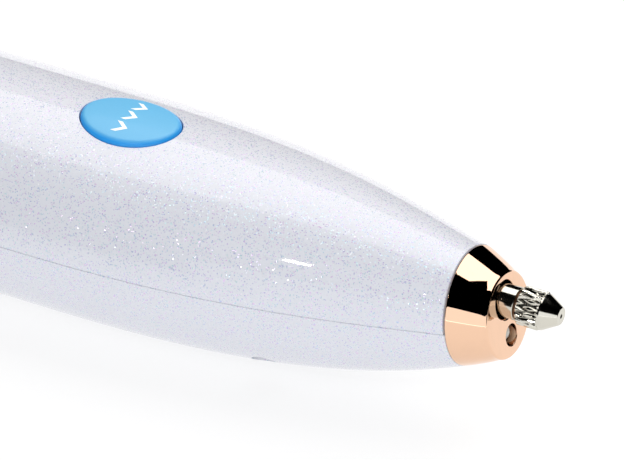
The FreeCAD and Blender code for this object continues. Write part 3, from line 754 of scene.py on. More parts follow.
@dataclass
class Shells:
    """The two halves of the body with their openings and screw bosses."""
    form: EggForm
    wall: float = 2.0
    upper_start: float = 15.25
    lower_start: float = 15.02
    end: float = 173.95
    step: float = 1.1
    around: int = 88
    line_gap: float = 0.015
    edge: float = 0.07
    front_edge: float = 0.16
    lip: float = 0.14
    boss_radius: float = 3.0
    bore_radius: float = 1.1
    head_radius: float = 2.1
    head_seat: float = 10.85
    screw_rows: tuple[Pair, ...] = ((46.0, 10.5), (152.0, 11.0))
    slot_half: Pair = (7.8, 1.2)
    opening_steps: int = 96
    faces_out: float = 0.9
    on_skin: float = 0.006
    boss_sunk: float = 1.4
    boss_tip: float = 0.8
    boss_cone: float = 3.2
    lip_spread: float = 1.6
    lip_rise: float = 0.3
    opening_reach: Pair = (-5.0, 3.0)
    slot_reach: Pair = (-4.0, 3.0)

    def build(self, slider: "SliderFrame", buttons: Sequence["FeedButton"]) -> None:
        """Make and dress both halves."""
        openings = [self._opening(button) for button in buttons] + [self._slot(slider)]
        for node, side, start, cutters in (("upper_shell", Side.UPPER, self.upper_start, openings),
                                           ("lower_shell", Side.LOWER, self.lower_start, self._recesses())):
            half = self._half(f"{node}_skin", side, start)
            Mesher.carve(half, self._bosses(side), "UNION")
            Mesher.carve(half, cutters)
            self._shade(half)
            dress(half, Look.SHELL, "pen", "shell", node)

    def _half(self, name: str, side: Side, start: float) -> Object:
        """One half as a closed wall with fine edges at the parting line and the front."""
        angles = [math.pi * k / self.around for k in range(self.around + 1)]
        count = math.ceil((self.end - start) / self.step)
        stations = [start + (self.end - start) * k / count for k in range(count + 1)]
        front = [(start, self.front_edge), (start + 0.3 * self.front_edge, 0.3 * self.front_edge),
                 (start + self.front_edge, 0.0)]
        loops = []
        for distance, inset in front + [(station, 0.0) for station in stations[1:]]:
            outer = self.form.section(distance, side, inset, angles, self.line_gap + self.edge)
            inner = self.form.section(distance, side, self.wall, angles, self.line_gap)
            ends = [(x, y - math.copysign(self.edge, y), PARTING_Z + side.value * self.line_gap)
                    for x, y, _ in (outer[0], outer[-1])]
            loops.append([ends[0], *outer, ends[1], *reversed(inner)])
        return self._tube(name, loops)

    def _tube(self, name: str, loops: list[list[Point]]) -> Object:
        """Join the C-shaped loops and close both of their ends with strips."""
        count, last = len(loops[0]), len(loops) - 1
        faces = [face for row in range(last) for face in band(row * count, (row + 1) * count, count)]
        outer = [0, *range(1, self.around + 2), self.around + 2]
        inner = [self.around + 3 + k for k in range(self.around + 1)]
        pairs = list(zip(outer[1:-1], reversed(inner)))
        for row, turned in ((0, False), (last * count, True)):
            strip = [(*pair, *reversed(after)) for pair, after in zip(pairs, pairs[1:])]
            strip += [(outer[0], pairs[0][1], pairs[0][0]), (outer[-1], pairs[-1][0], pairs[-1][1])]
            for face in strip:
                face = tuple(row + corner for corner in face)
                faces.append(face[::-1] if turned else face)
        return Mesher.piece(name, [point for loop in loops for point in loop], faces)

    def screw_spots(self) -> list[Pair]:
        """X and Y of the four shell screws."""
        return [(behind(distance), sign * aside) for distance, aside in self.screw_rows for sign in (1, -1)]

    def _bosses(self, side: Side) -> list[Object]:
        """Screw bosses that reach from inside the wall to the parting plane."""
        bosses = []
        for index, (x, y) in enumerate(self.screw_spots()):
            wide, tall = self.form.radii(TIP_X - x, side)
            foot = tall * math.sqrt(1 - (y / wide) ** 2) - self.boss_sunk
            steps = [(foot, 0), (foot, self.boss_tip), (foot - self.boss_cone, self.boss_radius),
                     (2 * self.line_gap, self.boss_radius), (2 * self.line_gap, 0)]
            bosses.append(Mesher.upright(f"boss_{index}", [
                (PARTING_Z + side.value * rise, radius) for rise, radius in steps], x, y))
        return bosses

    def _recesses(self) -> list[Object]:
        """Stepped holes for the four shell screws."""
        depth, top = -1.0, PARTING_Z + 1
        return [Mesher.upright(f"recess_{index}", [
            (depth, 0), (depth, self.head_radius), (self.head_seat, self.head_radius),
            (self.head_seat, self.bore_radius), (top, self.bore_radius), (top, 0)], x, y)
            for index, (x, y) in enumerate(self.screw_spots())]

    def _opening(self, button: "FeedButton") -> Object:
        """Cutter for a button's opening, flared where it meets the skin."""
        steps, lip = self.opening_steps, self.lip
        spread = lip * self.lip_spread
        rows = [(0.0, None, self.opening_reach[0])] + [
            (lip * (1 - math.cos(turn)), lip * (math.sin(turn) - 1), None) for turn in quarter(4)
        ] + [(spread, self.lip_rise, None), (spread, None, self.opening_reach[1])]
        loops = []
        for flare, off_skin, level in rows:
            loop = []
            for k in range(steps):
                turn = TURN * k / steps
                x = button.centre_x + (button.long_radius + button.gap + flare) * math.cos(turn)
                y = (button.short_radius + button.gap + flare) * math.sin(turn)
                skin = self.form.skin_height(TIP_X - x, y)
                loop.append((x, y, button.top + level if off_skin is None else skin + off_skin))
            loops.append(loop)
        for loop, at in ((loops[0], 0), (loops[-1], len(loops) + 1)):
            loops.insert(at, [(button.centre_x, 0.0, loop[0][2])] * steps)
        return Mesher.skin(f"{button.name}_opening", loops)

    def _slot(self, slider: "SliderFrame") -> Object:
        """Cutter for the slider's slot, with round ends."""
        long_half, short_half = self.slot_half
        outline = []
        for sign, start in ((1, -math.pi / 2), (-1, math.pi / 2)):
            outline += [(sign * (long_half - short_half) + short_half * math.cos(start + math.pi * k / 12),
                         short_half * math.sin(start + math.pi * k / 12)) for k in range(13)]
        low, high = self.slot_reach
        loops = [[(0.0, low, 0.0)] * len(outline)]
        loops += [[(u, level, w) for u, w in outline] for level in (low, high)]
        loops.append([(0.0, high, 0.0)] * len(outline))
        cutter = Mesher.skin("slider_slot", loops)
        cutter.data.transform(slider.matrix())
        return cutter

    def _shade(self, shell: Object) -> None:
        """Shade a half smoothly, with the skin's own directions on its outside."""
        Mesher.smooth(shell, 30.0, weighted=False)
        data = shell.data
        normals = [(0.0, 0.0, 0.0)] * len(data.loops)
        for face in data.polygons:
            _, outward = self.form.off_skin(face.center / MM)
            if face.normal.dot(outward) < self.faces_out:
                continue
            for corner in face.loop_indices:
                point = data.vertices[data.loops[corner].vertex_index].co / MM
                off, direction = self.form.off_skin(point)
                if abs(off) < self.on_skin:
                    normals[corner] = (0, 0, -1) if point.z < 1e-3 else tuple(direction)
        data.normals_split_custom_set(normals)


@dataclass
class TailCap:
    """Rounded end of the body with the filament bush and the power socket."""
    form: EggForm
    start: float = 174.05
    edge: float = 2.4
    wall: float = 2.0
    around: int = 144
    bush_radius: float = 2.9
    bush_bore: float = 1.3
    bush_length: float = 8.0
    socket_radius: float = 3.9
    socket_bore: float = 2.85
    socket_depth: float = 9.5
    socket_length: float = 12.0
    pin_radius: float = 1.0
    pin_sunk: float = 1.0
    mouth: float = 0.35
    seam_edge: float = 0.06
    inner_corner: tuple[Pair, ...] = ((0.0, 2.2), (0.6, 0.8), (2.0, 0.0))
    chamfer: float = 0.12
    cut_inside: float = 4.0
    cut_outside: float = 1.0

    def build(self) -> None:
        """Make and dress the cap, the bush, the socket and its pin."""
        socket_z = middle("power_socket").z
        cap = self._cap()
        Mesher.carve(cap, [self._hole("bush_hole", self.bush_radius, AXIS_Z),
                           self._hole("socket_hole", self.socket_radius, socket_z)])
        dress(Mesher.smooth(cap), Look.SHELL, "pen", "shell", "tail_cap")
        end, mouth = LENGTH, self.mouth
        bush = Mesher.lathe("inlet_bush_turned", [
            *rounded((end - mouth, self.bush_radius), (end, self.bush_radius - mouth),
                     (end, self.bush_radius)),
            *rounded((end, self.bush_bore + mouth), (end - mouth, self.bush_bore), (end, self.bush_bore)),
            (end - self.bush_length, self.bush_bore), (end - self.bush_length, self.bush_radius)])
        dress(Mesher.smooth(bush), Look.DARK, "pen", "dark_plastic", "inlet_bush")
        socket = Mesher.lathe("power_socket_turned", [
            (end - self.socket_length, 0), (end - self.socket_length, self.socket_radius),
            *rounded((end - mouth, self.socket_radius), (end, self.socket_radius - mouth),
                     (end, self.socket_radius)),
            (end, self.socket_bore + mouth), (end - mouth, self.socket_bore),
            (end - self.socket_depth, self.socket_bore), (end - self.socket_depth, 0)],
            socket_z, closed=False)
        dress(Mesher.smooth(socket), Look.DARK, "pen", "dark_plastic", "power_socket")
        tip, radius = end - self.pin_sunk, self.pin_radius
        pin = Mesher.lathe("socket_pin_turned", [
            (end - self.socket_depth, 0), (end - self.socket_depth, radius),
            *rounded((tip - radius / 2, radius), (tip, radius / 2), (tip, radius)), (tip, 0)],
            socket_z, 48, closed=False)
        dress(Mesher.smooth(pin), Look.STEEL, "pen", "steel", "socket_pin")

    def _cap(self) -> Object:
        """The hollow cap before its holes are cut."""
        angles = [math.pi * k / (self.around // 2) for k in range(self.around // 2)]
        end, edge = LENGTH, self.edge
        outside = [(self.start, self.seam_edge), (self.start + self.seam_edge, 0.0)]
        outside += [(self.start + (end - edge - self.start) * k / 10, 0.0) for k in range(1, 10)]
        outside += rounded((end - edge, 0.0), (end, edge), (end, 0.0), 10)
        floor = end - self.wall
        inside = [(floor - ahead, self.wall + inward) for ahead, inward in self.inner_corner]
        inside.append((self.start, self.wall))
        loops = [self._ring(distance, inset, angles) for distance, inset in outside + inside]
        return Mesher.piece("tail_cap_skin", *self._faces(loops, len(outside)))

    def _ring(self, distance: float, inset: float, angles: Sequence[float]) -> list[Point]:
        """Whole section at a distance, inset all round."""
        upper = self.form.section(distance, Side.UPPER, inset, angles, 0.0)
        lower = self.form.section(distance, Side.LOWER, inset, angles, 0.0)
        return upper + [(x, -y, z) for x, y, z in lower]

    def _faces(self, loops: list[list[Point]], split: int) -> tuple[list[Point], list[tuple[int, ...]]]:
        """Quads between the rings, closed at the seam and across both sides of the end wall.

        Args:
            loops: Rings of points, the outer ones from the seam to the end and the inner ones back.
            split: Number of outer rings.

        Returns:
            Points and faces.
        """
        count = len(loops[0])
        faces = []
        for row in range(len(loops)):
            if row == split - 1:
                continue
            faces += band(row * count, (row + 1) % len(loops) * count, count)
        faces.append(tuple((split - 1) * count + k for k in range(count)))
        faces.append(tuple(split * count + k for k in reversed(range(count))))
        return [point for loop in loops for point in loop], faces

    def _hole(self, name: str, radius: float, height: float) -> Object:
        """Cutter through the end wall with a small chamfer outside."""
        end, flare = LENGTH, self.chamfer
        inside, outside = end - self.wall - self.cut_inside, end + self.cut_outside
        return Mesher.lathe(name, [(inside, 0), (inside, radius), (end - flare, radius),
                                   (end, radius + flare), (outside, radius + flare), (outside, 0)],
                            height, 64, closed=False)


# ---------------------------------------------------------------- the nose
@dataclass
class NoseCap:
    """Flared plated cap with rounded rims, the nozzle hole and the indicator hole."""
    form: EggForm
    face: float = 9.0
    rear: float = 15.0
    face_radius: float = 6.9
    rear_radius: float = 9.45
    front_edge: float = 0.42
    rear_edge: float = 0.16
    bulge: float = 0.10
    wall: float = 1.3
    spigot: float = 2.4
    spigot_radius: float = 7.3
    spigot_bore: float = 6.45
    nozzle_hole: float = 3.05
    nozzle_lip: float = 0.34
    led_hole: float = 1.75
    led_lip: float = 0.12
    led_drop: float = 6.1
    rims_length: float = 0.6
    face_ring: float = 1.2
    flank_start: float = 0.9
    flank_short: float = 1.7

    def build(self) -> None:
        """Make and dress the cap."""
        cap = Mesher.lathe("nose_cap_plated", self._profile(), PARTING_Z, 160, closed=False)
        for vertex in cap.data.vertices:
            distance, height = TIP_X - vertex.co.x / MM, vertex.co.z / MM
            vertex.co.x = self.form.leaned_x(distance, height) * MM
        Mesher.carve(cap, [self._hole("nozzle_hole", self.nozzle_hole, self.nozzle_lip, AXIS_Z),
                           self._hole("led_hole", self.led_hole, self.led_lip, AXIS_Z - self.led_drop)])
        dress(Mesher.smooth(cap, 40.0), Look.ROSE, "pen", "rose_plating", "nose_cap")

    def _profile(self) -> list[Pair]:
        """Outside, rims, spigot and inside of the cap."""
        slope = (self.rear_radius - self.face_radius) / (self.rear - self.face - self.rims_length)
        rim = self.front_edge
        rear = self.rear_edge
        return [
            (self.face, 0), (self.face, self.face_radius - rim - self.face_ring),
            *rounded((self.face, self.face_radius - rim), (self.face + rim, self.face_radius - 0.02),
                     (self.face, self.face_radius - 0.05), 6),
            *[(distance, self._flare(distance, slope)) for distance in
              (self.face + self.flank_start + (self.rear - self.face - self.flank_short) * k / 10
               for k in range(11))],
            *rounded((self.rear - 2 * rear, self.rear_radius - 2 * rear * slope),
                     (self.rear, self.rear_radius - rear), (self.rear - 0.3 * rear, self.rear_radius), 4),
            (self.rear, self.spigot_radius), (self.rear + self.spigot, self.spigot_radius),
            (self.rear + self.spigot, self.spigot_bore), (self.rear, self.spigot_bore),
            (self.face + self.wall, self.face_radius - self.wall), (self.face + self.wall, 0)]

    def _flare(self, distance: float, slope: float) -> float:
        """Radius of the gently bulging flank."""
        run = (distance - self.face) / (self.rear - self.face)
        return self.rear_radius - (self.rear - distance) * slope + self.bulge * 4 * run * (1 - run)

    def _hole(self, name: str, radius: float, lip: float, height: float) -> Object:
        """Cutter for a hole in the leaning face with a rounded lip."""
        front = TIP_X - self.form.leaned_x(self.face, height)
        flare = [(front + lip * (1 - math.sin(turn)), radius + lip * (1 - math.cos(turn)))
                 for turn in quarter(6)]
        cutter = Mesher.lathe(name, [(self.rear + 3, 0), (self.rear + 3, radius), *flare,
                                     (front - 2, radius + lip), (front - 2, 0)], height, 96, closed=False)
        for vertex in cutter.data.vertices:
            vertex.co.x += self.form.face_lean * (height * MM - vertex.co.z)
        return cutter


# points and face of a triangle that a tree replaces with what it makes
SEED_FACE = ([(0, 0, 0), (1, 0, 0), (0, 1, 0)], [(0, 1, 2)])


class GeometryTree:
    """A Geometry Nodes group with named inputs, run once on a host object."""

    def __init__(self, name: str, numbers: dict[str, float], things: dict[str, Object] | None = None
                 ) -> None:
        """Make the group and its sockets.

        Args:
            name: Name of the group.
            numbers: Float inputs and their values.
            things: Object inputs and their values.
        """
        self.group = bpy.data.node_groups.new(name, "GeometryNodeTree")
        self.graph = Graph(self.group)
        self.values: dict[str, object] = {}
        face = self.group.interface
        face.new_socket("Geometry", in_out="INPUT", socket_type="NodeSocketGeometry")
        face.new_socket("Geometry", in_out="OUTPUT", socket_type="NodeSocketGeometry")
        for label, value in {**numbers, **(things or {})}.items():
            kind = "NodeSocketFloat" if isinstance(value, (int, float)) else "NodeSocketObject"
            made = face.new_socket(label, in_out="INPUT", socket_type=kind)
            self.values[made.identifier] = value
        self.entry = self.graph.node("NodeGroupInput")

    def input(self, label: str) -> Signal:
        """One of the named inputs."""
        return Signal(self.graph, self.entry.outputs[label])

    def shape(self, label: str) -> Signal:
        """Geometry of one of the objects that are inputs."""
        return self.graph.signal("GeometryNodeObjectInfo", inputs={"Object": self.input(label)},
                                 output="Geometry")

    def run(self, host: Object, result: Signal, look: Look) -> Object:
        """End the tree, run it on a host and leave a plain mesh.

        Args:
            host: Object whose mesh the tree starts from.
            result: The geometry that the tree made.
            look: Finish of the whole result.

        Returns:
            The host with the result as its mesh.
        """
        real = self.graph.signal("GeometryNodeRealizeInstances", inputs={"Geometry": result})
        painted = self.graph.signal("GeometryNodeSetMaterial", inputs={
            "Geometry": real, "Material": look.value.material()})
        leave = self.graph.node("NodeGroupOutput")
        self.graph.tree.links.new(painted.socket, leave.inputs[0])
        change = host.modifiers.new("grow", "NODES")
        change.node_group = self.group
        for identifier, value in self.values.items():
            change[identifier] = value
        return Mesher.settle(host)


@dataclass
class Nozzle:
    """Plated nozzle with a knurled collar and the neck behind it."""
    orifice: float = 0.35
    bore: float = 1.05
    tip_radius: float = 1.48
    tip_edge: float = 0.12
    cone_length: float = 2.8
    core_radius: float = 2.76
    crest_radius: float = 3.1
    collar_end: float = 6.6
    shank_radius: float = 1.5
    shank_end: float = 11.1
    ribs: int = 17
    lead: float = 0.21
    rows: int = 46
    facets: int = 14
    neck_radius: float = 2.6
    neck_start: float = 7.1
    neck_edge: float = 0.14
    thread_hole: float = 1.55
    orifice_length: float = 1.4
    bore_start: float = 2.8
    cone_edge: Pair = (0.25, 0.22)
    groove_steepness: float = 1.7
    front_fade: float = 9.0
    rear_fade: Pair = (14.0, 0.55)
    under_core: float = 0.06
    overlap: Pair = (0.02, 0.1)

    def build(self) -> None:
        """Make and dress the nozzle, its knurl and the neck."""
        body = Mesher.lathe("nozzle_turned", [
            (self.orifice_length, self.orifice), (0.0, self.orifice),
            (0.0, self.tip_radius - self.tip_edge), (self.tip_edge, self.tip_radius),
            (self.cone_length - self.cone_edge[0], self.crest_radius - self.cone_edge[1]),
            (self.cone_length, self.core_radius + 0.06), (self.collar_end - 0.1, self.core_radius + 0.02),
            (self.collar_end, self.core_radius - 0.1), (self.collar_end, self.shank_radius),
            (self.shank_end, self.shank_radius), (self.shank_end, self.bore), (self.bore_start, self.bore)],
            steps=128)
        dress(Mesher.smooth(body, 25.0), Look.NICKEL, "nozzle", "nozzle_plating", "nozzle")
        dress(Mesher.smooth(self._knurl(), 35.0, weighted=False), Look.NICKEL, "nozzle", "nozzle_plating")
        self._neck()

    def _knurl(self) -> Object:
        """Crossed slanting grooves that leave long diamonds, as a closed ring round the core."""
        host = Mesher.piece("nozzle_knurl", *SEED_FACE)
        tree = GeometryTree("diamond_knurl", {
            "Crest Radius": self.crest_radius * MM, "Core Radius": self.core_radius * MM,
            "Start": behind(self.collar_end - self.overlap[0]) * MM,
            "Length": (self.collar_end - self.cone_length + self.overlap[1]) * MM,
            "Height": AXIS_Z * MM, "Ribs": float(self.ribs), "Lead": self.lead / MM})
        graph = tree.graph
        rows, columns = self.rows, self.ribs * self.facets
        sheet = graph.signal("GeometryNodeMeshGrid", inputs={
            "Size X": 1.0, "Size Y": 1.0, "Vertices X": rows + 1, "Vertices Y": columns + 1})
        place = graph.node("ShaderNodeSeparateXYZ", inputs={0: graph.signal("GeometryNodeInputPosition")})
        row = (Signal(graph, place.outputs[0]) + 0.5) * rows
        turn = Signal(graph, place.outputs[1]) + 0.5
        share = ((row - 1) / (rows - 3)).clamped() * row.math("LESS_THAN", rows - 0.5)
        inside = row.math("LESS_THAN", 0.5) + row.math("GREATER_THAN", rows - 1.5)
        along = share * tree.input("Length")
        ribs, lead = turn * tree.input("Ribs"), along * tree.input("Lead")
        height = ((ribs + lead).triangle().smaller((ribs - lead).triangle())
                  * self.groove_steepness).clamped()
        slope, least = self.rear_fade
        fade = ((1 - share) * self.front_fade).clamped() * (share * slope + least).clamped()
        core, crest = tree.input("Core Radius"), tree.input("Crest Radius")
        radius = core + (crest - core) * height * fade
        radius = radius * (1 - inside) + (core - self.under_core * MM) * inside
        angle = turn * -TURN
        where = graph.signal("ShaderNodeCombineXYZ", inputs={
            0: tree.input("Start") + along, 1: radius * angle.math("COSINE"),
            2: radius * angle.math("SINE") + tree.input("Height")})
        moved = graph.signal("GeometryNodeSetPosition", inputs={"Geometry": sheet, "Position": where})
        merged = graph.signal("GeometryNodeMergeByDistance", inputs={"Geometry": moved, "Distance": 1e-6})
        knurl = tree.run(host, merged, Look.NICKEL)
        Mesher.point_outwards(knurl.data)
        return knurl

    def _neck(self) -> None:
        """The bright front of the heater barrel and its flange at the back."""
        barrel_low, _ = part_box("heater_barrel")
        rear = TIP_X - barrel_low.x / MM
        flange = extent("heater_barrel").z / 2
        edge = self.neck_edge
        neck = Mesher.lathe("heater_barrel_turned", [
            (self.neck_start, self.thread_hole),
            *rounded((self.neck_start, self.neck_radius - edge), (self.neck_start + edge, self.neck_radius),
                     (self.neck_start, self.neck_radius), 4),
            (rear - 2, self.neck_radius), (rear - 2, flange), (rear, flange), (rear, self.bore),
            (self.shank_end + 3.5, self.bore), (self.shank_end + 3.5, self.thread_hole)], steps=128)
        dress(Mesher.smooth(neck, 40.0), Look.NECK, "pen", "nozzle_plating", "heater_barrel")


@dataclass
class Indicator:
    """Round indicator behind its hole in the nose cap."""
    radius: float = 1.5
    flange: float = 1.9
    flange_thick: float = 1.0
    forward: float = 0.45

    def build(self) -> None:
        """Make and dress the indicator."""
        low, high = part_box("nose_led")
        front, rear = TIP_X - high.x / MM - self.forward, TIP_X - low.x / MM
        dome = [(front + self.radius * (1 - math.cos(turn)), self.radius * math.sin(turn))
                for turn in quarter(12)]
        lens = Mesher.lathe("nose_led_lens", [
            *dome, (rear - self.flange_thick, self.radius), (rear - self.flange_thick, self.flange),
            (rear, self.flange), (rear, 0)], middle("nose_led").z, 48, closed=False)
        dress(Mesher.smooth(lens, 40.0), Look.LENS, "pen", "lens", "nose_led")


# ---------------------------------------------------------------- what a finger works
@dataclass
class FeedButton:
    """Oval crowned button with a rim under the shell, a stem and a row of arrowheads on top.

    Attributes:
        name: Node and body of the button.
        heading: 1 where its arrowheads point to the nozzle, -1 where they point to the tail.
    """
    name: str
    heading: int
    long_radius: float = 8.45
    short_radius: float = 6.3
    gap: float = 0.15
    crown: float = 24.0
    dome: float = 0.3
    edge: float = 0.85
    rim: float = 1.1
    rim_thick: float = 0.9
    floor_drop: float = 4.65
    stem_radius: float = 1.7
    steps: int = 128
    mark_count: int = 3
    mark_pitch: float = 3.15
    mark_rise: float = 0.03
    mark_sunk: float = 0.05
    arrow: tuple[Pair, ...] = ((1.2, 0.0), (-0.3, 1.2), (-1.2, 1.2), (0.3, 0.0), (-1.2, -1.2), (-0.3, -1.2))
    rim_edge: float = 0.1
    centre_x: float = field(init=False)
    top: float = field(init=False)
    low: float = field(init=False)

    def __post_init__(self) -> None:
        """Take the button's place from its node."""
        low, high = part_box(self.name)
        self.centre_x = middle(self.name).x
        self.top = high.z / MM - self.mark_rise
        self.low = low.z / MM

    def build(self) -> None:
        """Make and dress the button and its mark."""
        floor = self.top - self.floor_drop
        outer = (self.long_radius + self.rim, self.short_radius + self.rim)
        rings = [(0.0, 0.0, self.low), (self.stem_radius, self.stem_radius, self.low),
                 (self.stem_radius, self.stem_radius, floor - self.rim_thick),
                 (outer[0] - self.rim_edge, outer[1] - self.rim_edge, floor - self.rim_thick),
                 (*outer, floor - self.rim_thick + self.rim_edge), (*outer, floor),
                 (self.long_radius, self.short_radius, floor)]
        loops = [[self._spot(wide, deep, k, height) for k in range(self.steps)]
                 for wide, deep, height in rings]
        crowned = [(self.long_radius - inset, self.short_radius - inset, self.edge * (1 - math.sin(turn)))
                   for turn in quarter(8) for inset in (self.edge * (1 - math.cos(turn)),)]
        crowned += [((self.long_radius - self.edge) * share, (self.short_radius - self.edge) * share, 0.0)
                    for share in (0.9, 0.75, 0.6, 0.45, 0.3, 0.15, 0.0)]
        loops += [[self._crowned(wide, deep, k, drop) for k in range(self.steps)]
                  for wide, deep, drop in crowned]
        button = Mesher.skin(f"{self.name}_cap", loops)
        dress(Mesher.smooth(button, 50.0), Look.BUTTON, self.name, "button", self.name)
        self._mark()

    def crown_height(self, x: float, y: float) -> float:
        """Height of the crowned top over a point, measured from the button's centre."""
        return (self.top - self.crown + math.sqrt(self.crown ** 2 - y ** 2)
                - self.dome * (x / self.long_radius) ** 2)

    def _spot(self, wide: float, deep: float, step: int, height: float) -> Point:
        """Point of a level ellipse."""
        turn = TURN * step / self.steps
        return self.centre_x + wide * math.cos(turn), deep * math.sin(turn), height

    def _crowned(self, wide: float, deep: float, step: int, drop: float) -> Point:
        """Point of an ellipse that lies a drop under the crown."""
        x, y, _ = self._spot(wide, deep, step, 0.0)
        return x, y, self.crown_height(x - self.centre_x, y) - drop

    def _mark(self) -> None:
        """A row of raised arrowheads across the button, plain arrows in place of any word."""
        points, faces, count = [], [], len(self.arrow)
        for index in range(self.mark_count):
            aside = (index - (self.mark_count - 1) / 2) * self.mark_pitch
            first = len(points)
            for level in (-self.mark_sunk, self.mark_rise):
                for along, across in self.arrow:
                    x, y = along * self.heading, across + aside
                    points.append((self.centre_x + x, y, self.crown_height(x, y) + level))
            faces += band(first, first + count, count)
            faces += [tuple(first + k for k in reversed(range(count))),
                      tuple(first + count + k for k in range(count))]
        mark = Mesher.piece(f"{self.name}_arrows", points, faces)
        dress(Mesher.smooth(mark, 20.0, weighted=False), Look.MARK, self.name, "pale_plastic")


@dataclass
class SliderFrame:
    """The tilted frame of the speed slider: length along X, thickness outward, width across."""
    form: EggForm
    station: float = 116.0
    height: float = 5.0
    tilt: float = 24.2

    def matrix(self) -> Matrix:
        """Turn and move from the slider's frame, in metres."""
        wide, tall = self.form.radii(self.station, Side.UPPER)
        aside = wide * math.sqrt(1 - (self.height / tall) ** 2)
        place = Vector((behind(self.station), aside, PARTING_Z + self.height)) * MM
        return Matrix.Translation(place) @ Matrix.Rotation(math.radians(self.tilt), 4, "X")


@dataclass
class SpeedSlider:
    """Ridged knob of the speed slider with its stem."""
    place: SliderFrame
    half_length: float = 3.5
    half_width: float = 2.5
    lift: float = 0.15
    thick: float = 0.95
    corner: float = 0.8
    edge: float = 0.3
    stem: tuple[float, float, float] = (1.2, 0.9, 3.1)
    ridges: int = 6
    ridge_pitch: float = 0.95
    ridge_height: float = 0.34
    ridge_half: float = 0.2
    ridge_inset: float = 0.5
    ridge_sunk: float = 0.1
    ridge_corner: float = 0.15
    stem_inside: float = 0.2
    stem_corner: float = 0.3

    def build(self) -> None:
        """Make and dress the knob with its ridges."""
        knob = self._block("speed_knob_cap", (self.half_length, self.half_width), self.lift,
                           self.lift + self.thick, self.corner)
        stem = self._block("speed_knob_stem", self.stem[:2], -self.stem[2],
                           self.lift + self.stem_inside, self.stem_corner)
        Mesher.carve(knob, [stem], "UNION")
        Mesher.carve(knob, [self._ridge_row()], "UNION")
        knob.data.transform(self.place.matrix())
        dress(Mesher.smooth(knob, 40.0), Look.BUTTON, "speed_knob", "button", "speed_knob")

    def _block(self, name: str, half: Sequence[float], low: float, high: float, corner: float
               ) -> Object:
        """Block with round corners and a rounded top edge, in the slider's frame."""
        rings = [(0.0, 0.0, low), (*half, low), (*half, high - self.edge)]
        rings += [(half[0] - self.edge * (1 - math.cos(turn)), half[1] - self.edge * (1 - math.cos(turn)),
                   high - self.edge * (1 - math.sin(turn))) for turn in quarter(4)[1:]]
        rings.append((0.0, 0.0, high))
        loops = [[(u, level, w) for u, w in self._outline(long, short, corner)]
                 for long, short, level in rings]
        return Mesher.skin(name, loops)

    @staticmethod
    def _outline(long: float, short: float, corner: float) -> list[Pair]:
        """Rectangle with round corners, or one point repeated where it has no size."""
        corner = min(corner, long, short)
        points = []
        for quarter, (su, sw) in enumerate(((1, 1), (-1, 1), (-1, -1), (1, -1))):
            for k in range(7):
                turn = math.pi / 2 * (quarter + k / 6)
                points.append((su * (long - corner) + corner * math.cos(turn),
                               sw * (short - corner) + corner * math.sin(turn)))
        return points

    def _ridge_row(self) -> Object:
        """Ridges across the knob, one bar repeated along a line."""
        top = self.lift + self.thick
        bar = self._block("ridge_bar", (self.ridge_half, self.half_width - self.ridge_inset),
                          top - self.ridge_sunk, top + self.ridge_height, self.ridge_corner)
        host = Mesher.piece("ridge_row", *SEED_FACE)
        tree = GeometryTree("knob_ridges", {"Pitch": self.ridge_pitch * MM, "Count": float(self.ridges)},
                            {"Bar": bar})
        graph = tree.graph
        count, pitch = tree.input("Count"), tree.input("Pitch")
        start = graph.signal("ShaderNodeCombineXYZ", inputs={0: (count - 1) * pitch * -0.5})
        step = graph.signal("ShaderNodeCombineXYZ", inputs={0: pitch})
        line = graph.signal("GeometryNodeMeshLine", inputs={"Count": count, "Start Location": start,
                                                            "Offset": step})
        bars = graph.signal("GeometryNodeInstanceOnPoints", inputs={"Points": line,
                                                                    "Instance": tree.shape("Bar")})
        row = tree.run(host, bars, Look.BUTTON)
        bpy.data.objects.remove(bar)
        return row


@dataclass
class ShellScrews:
    """The four screws under the pen, one screw repeated at their places."""
    spots: Sequence[Pair]
    seat: float = 10.85
    head: float = 1.5
    head_radius: float = 1.9
    shank_radius: float = 0.99
    shank_top: float = 24.3
    head_edge: float = 0.35
    point: float = 0.4
    cross: Point = (1.0, 0.22, 0.75)
    cross_taper: float = 0.8
    turn: float = 0.4

    def build(self) -> None:
        """Make and dress the screws."""
        face = self.seat - self.head
        screw = Mesher.upright("one_screw", [
            (face, 0), (face, self.head_radius - self.head_edge),
            *rounded((face, self.head_radius - self.head_edge), (face + self.head_edge, self.head_radius),
                     (face, self.head_radius), 4)[1:],
            (self.seat, self.head_radius), (self.seat, self.shank_radius),
            (self.shank_top - self.point, self.shank_radius),
            (self.shank_top, self.shank_radius - self.point),
            (self.shank_top, 0)], 0.0, 0.0)
        Mesher.carve(screw, [self._bar(turned) for turned in (False, True)])
        points = [(x, y, 0.0) for x, y in self.spots]
        host = Mesher.piece("shell_screw_set", points, [(0, 1, 3, 2)])
        tree = GeometryTree("screw_places", {"Turn": self.turn}, {"Screw": screw})
        graph = tree.graph
        turns = graph.signal("ShaderNodeCombineXYZ", inputs={
            2: graph.signal("GeometryNodeInputIndex") * tree.input("Turn")})
        placed = graph.signal("GeometryNodeInstanceOnPoints", inputs={
            "Points": tree.input("Geometry"), "Instance": tree.shape("Screw"), "Rotation": turns})
        tree.run(host, placed, Look.STEEL)
        bpy.data.objects.remove(screw)
        dress(Mesher.smooth(host, 35.0), Look.STEEL, "pen", "steel", "shell_screws")

    def _bar(self, turned: bool) -> Object:
        """One of the two bars of the cross recess."""
        long, short, deep = self.cross
        wide, narrow = (short, long) if turned else (long, short)
        face = self.seat - self.head
        corners = [(wide, narrow), (-wide, narrow), (-wide, -narrow), (wide, -narrow)]
        loops = [[(0.0, 0.0, face - 1)] * 4, [(x, y, face - 1) for x, y in corners],
                 [(x * self.cross_taper, y, face + deep) for x, y in corners], [(0.0, 0.0, face + deep)] * 4]
        return Mesher.skin("recess_bar", loops)


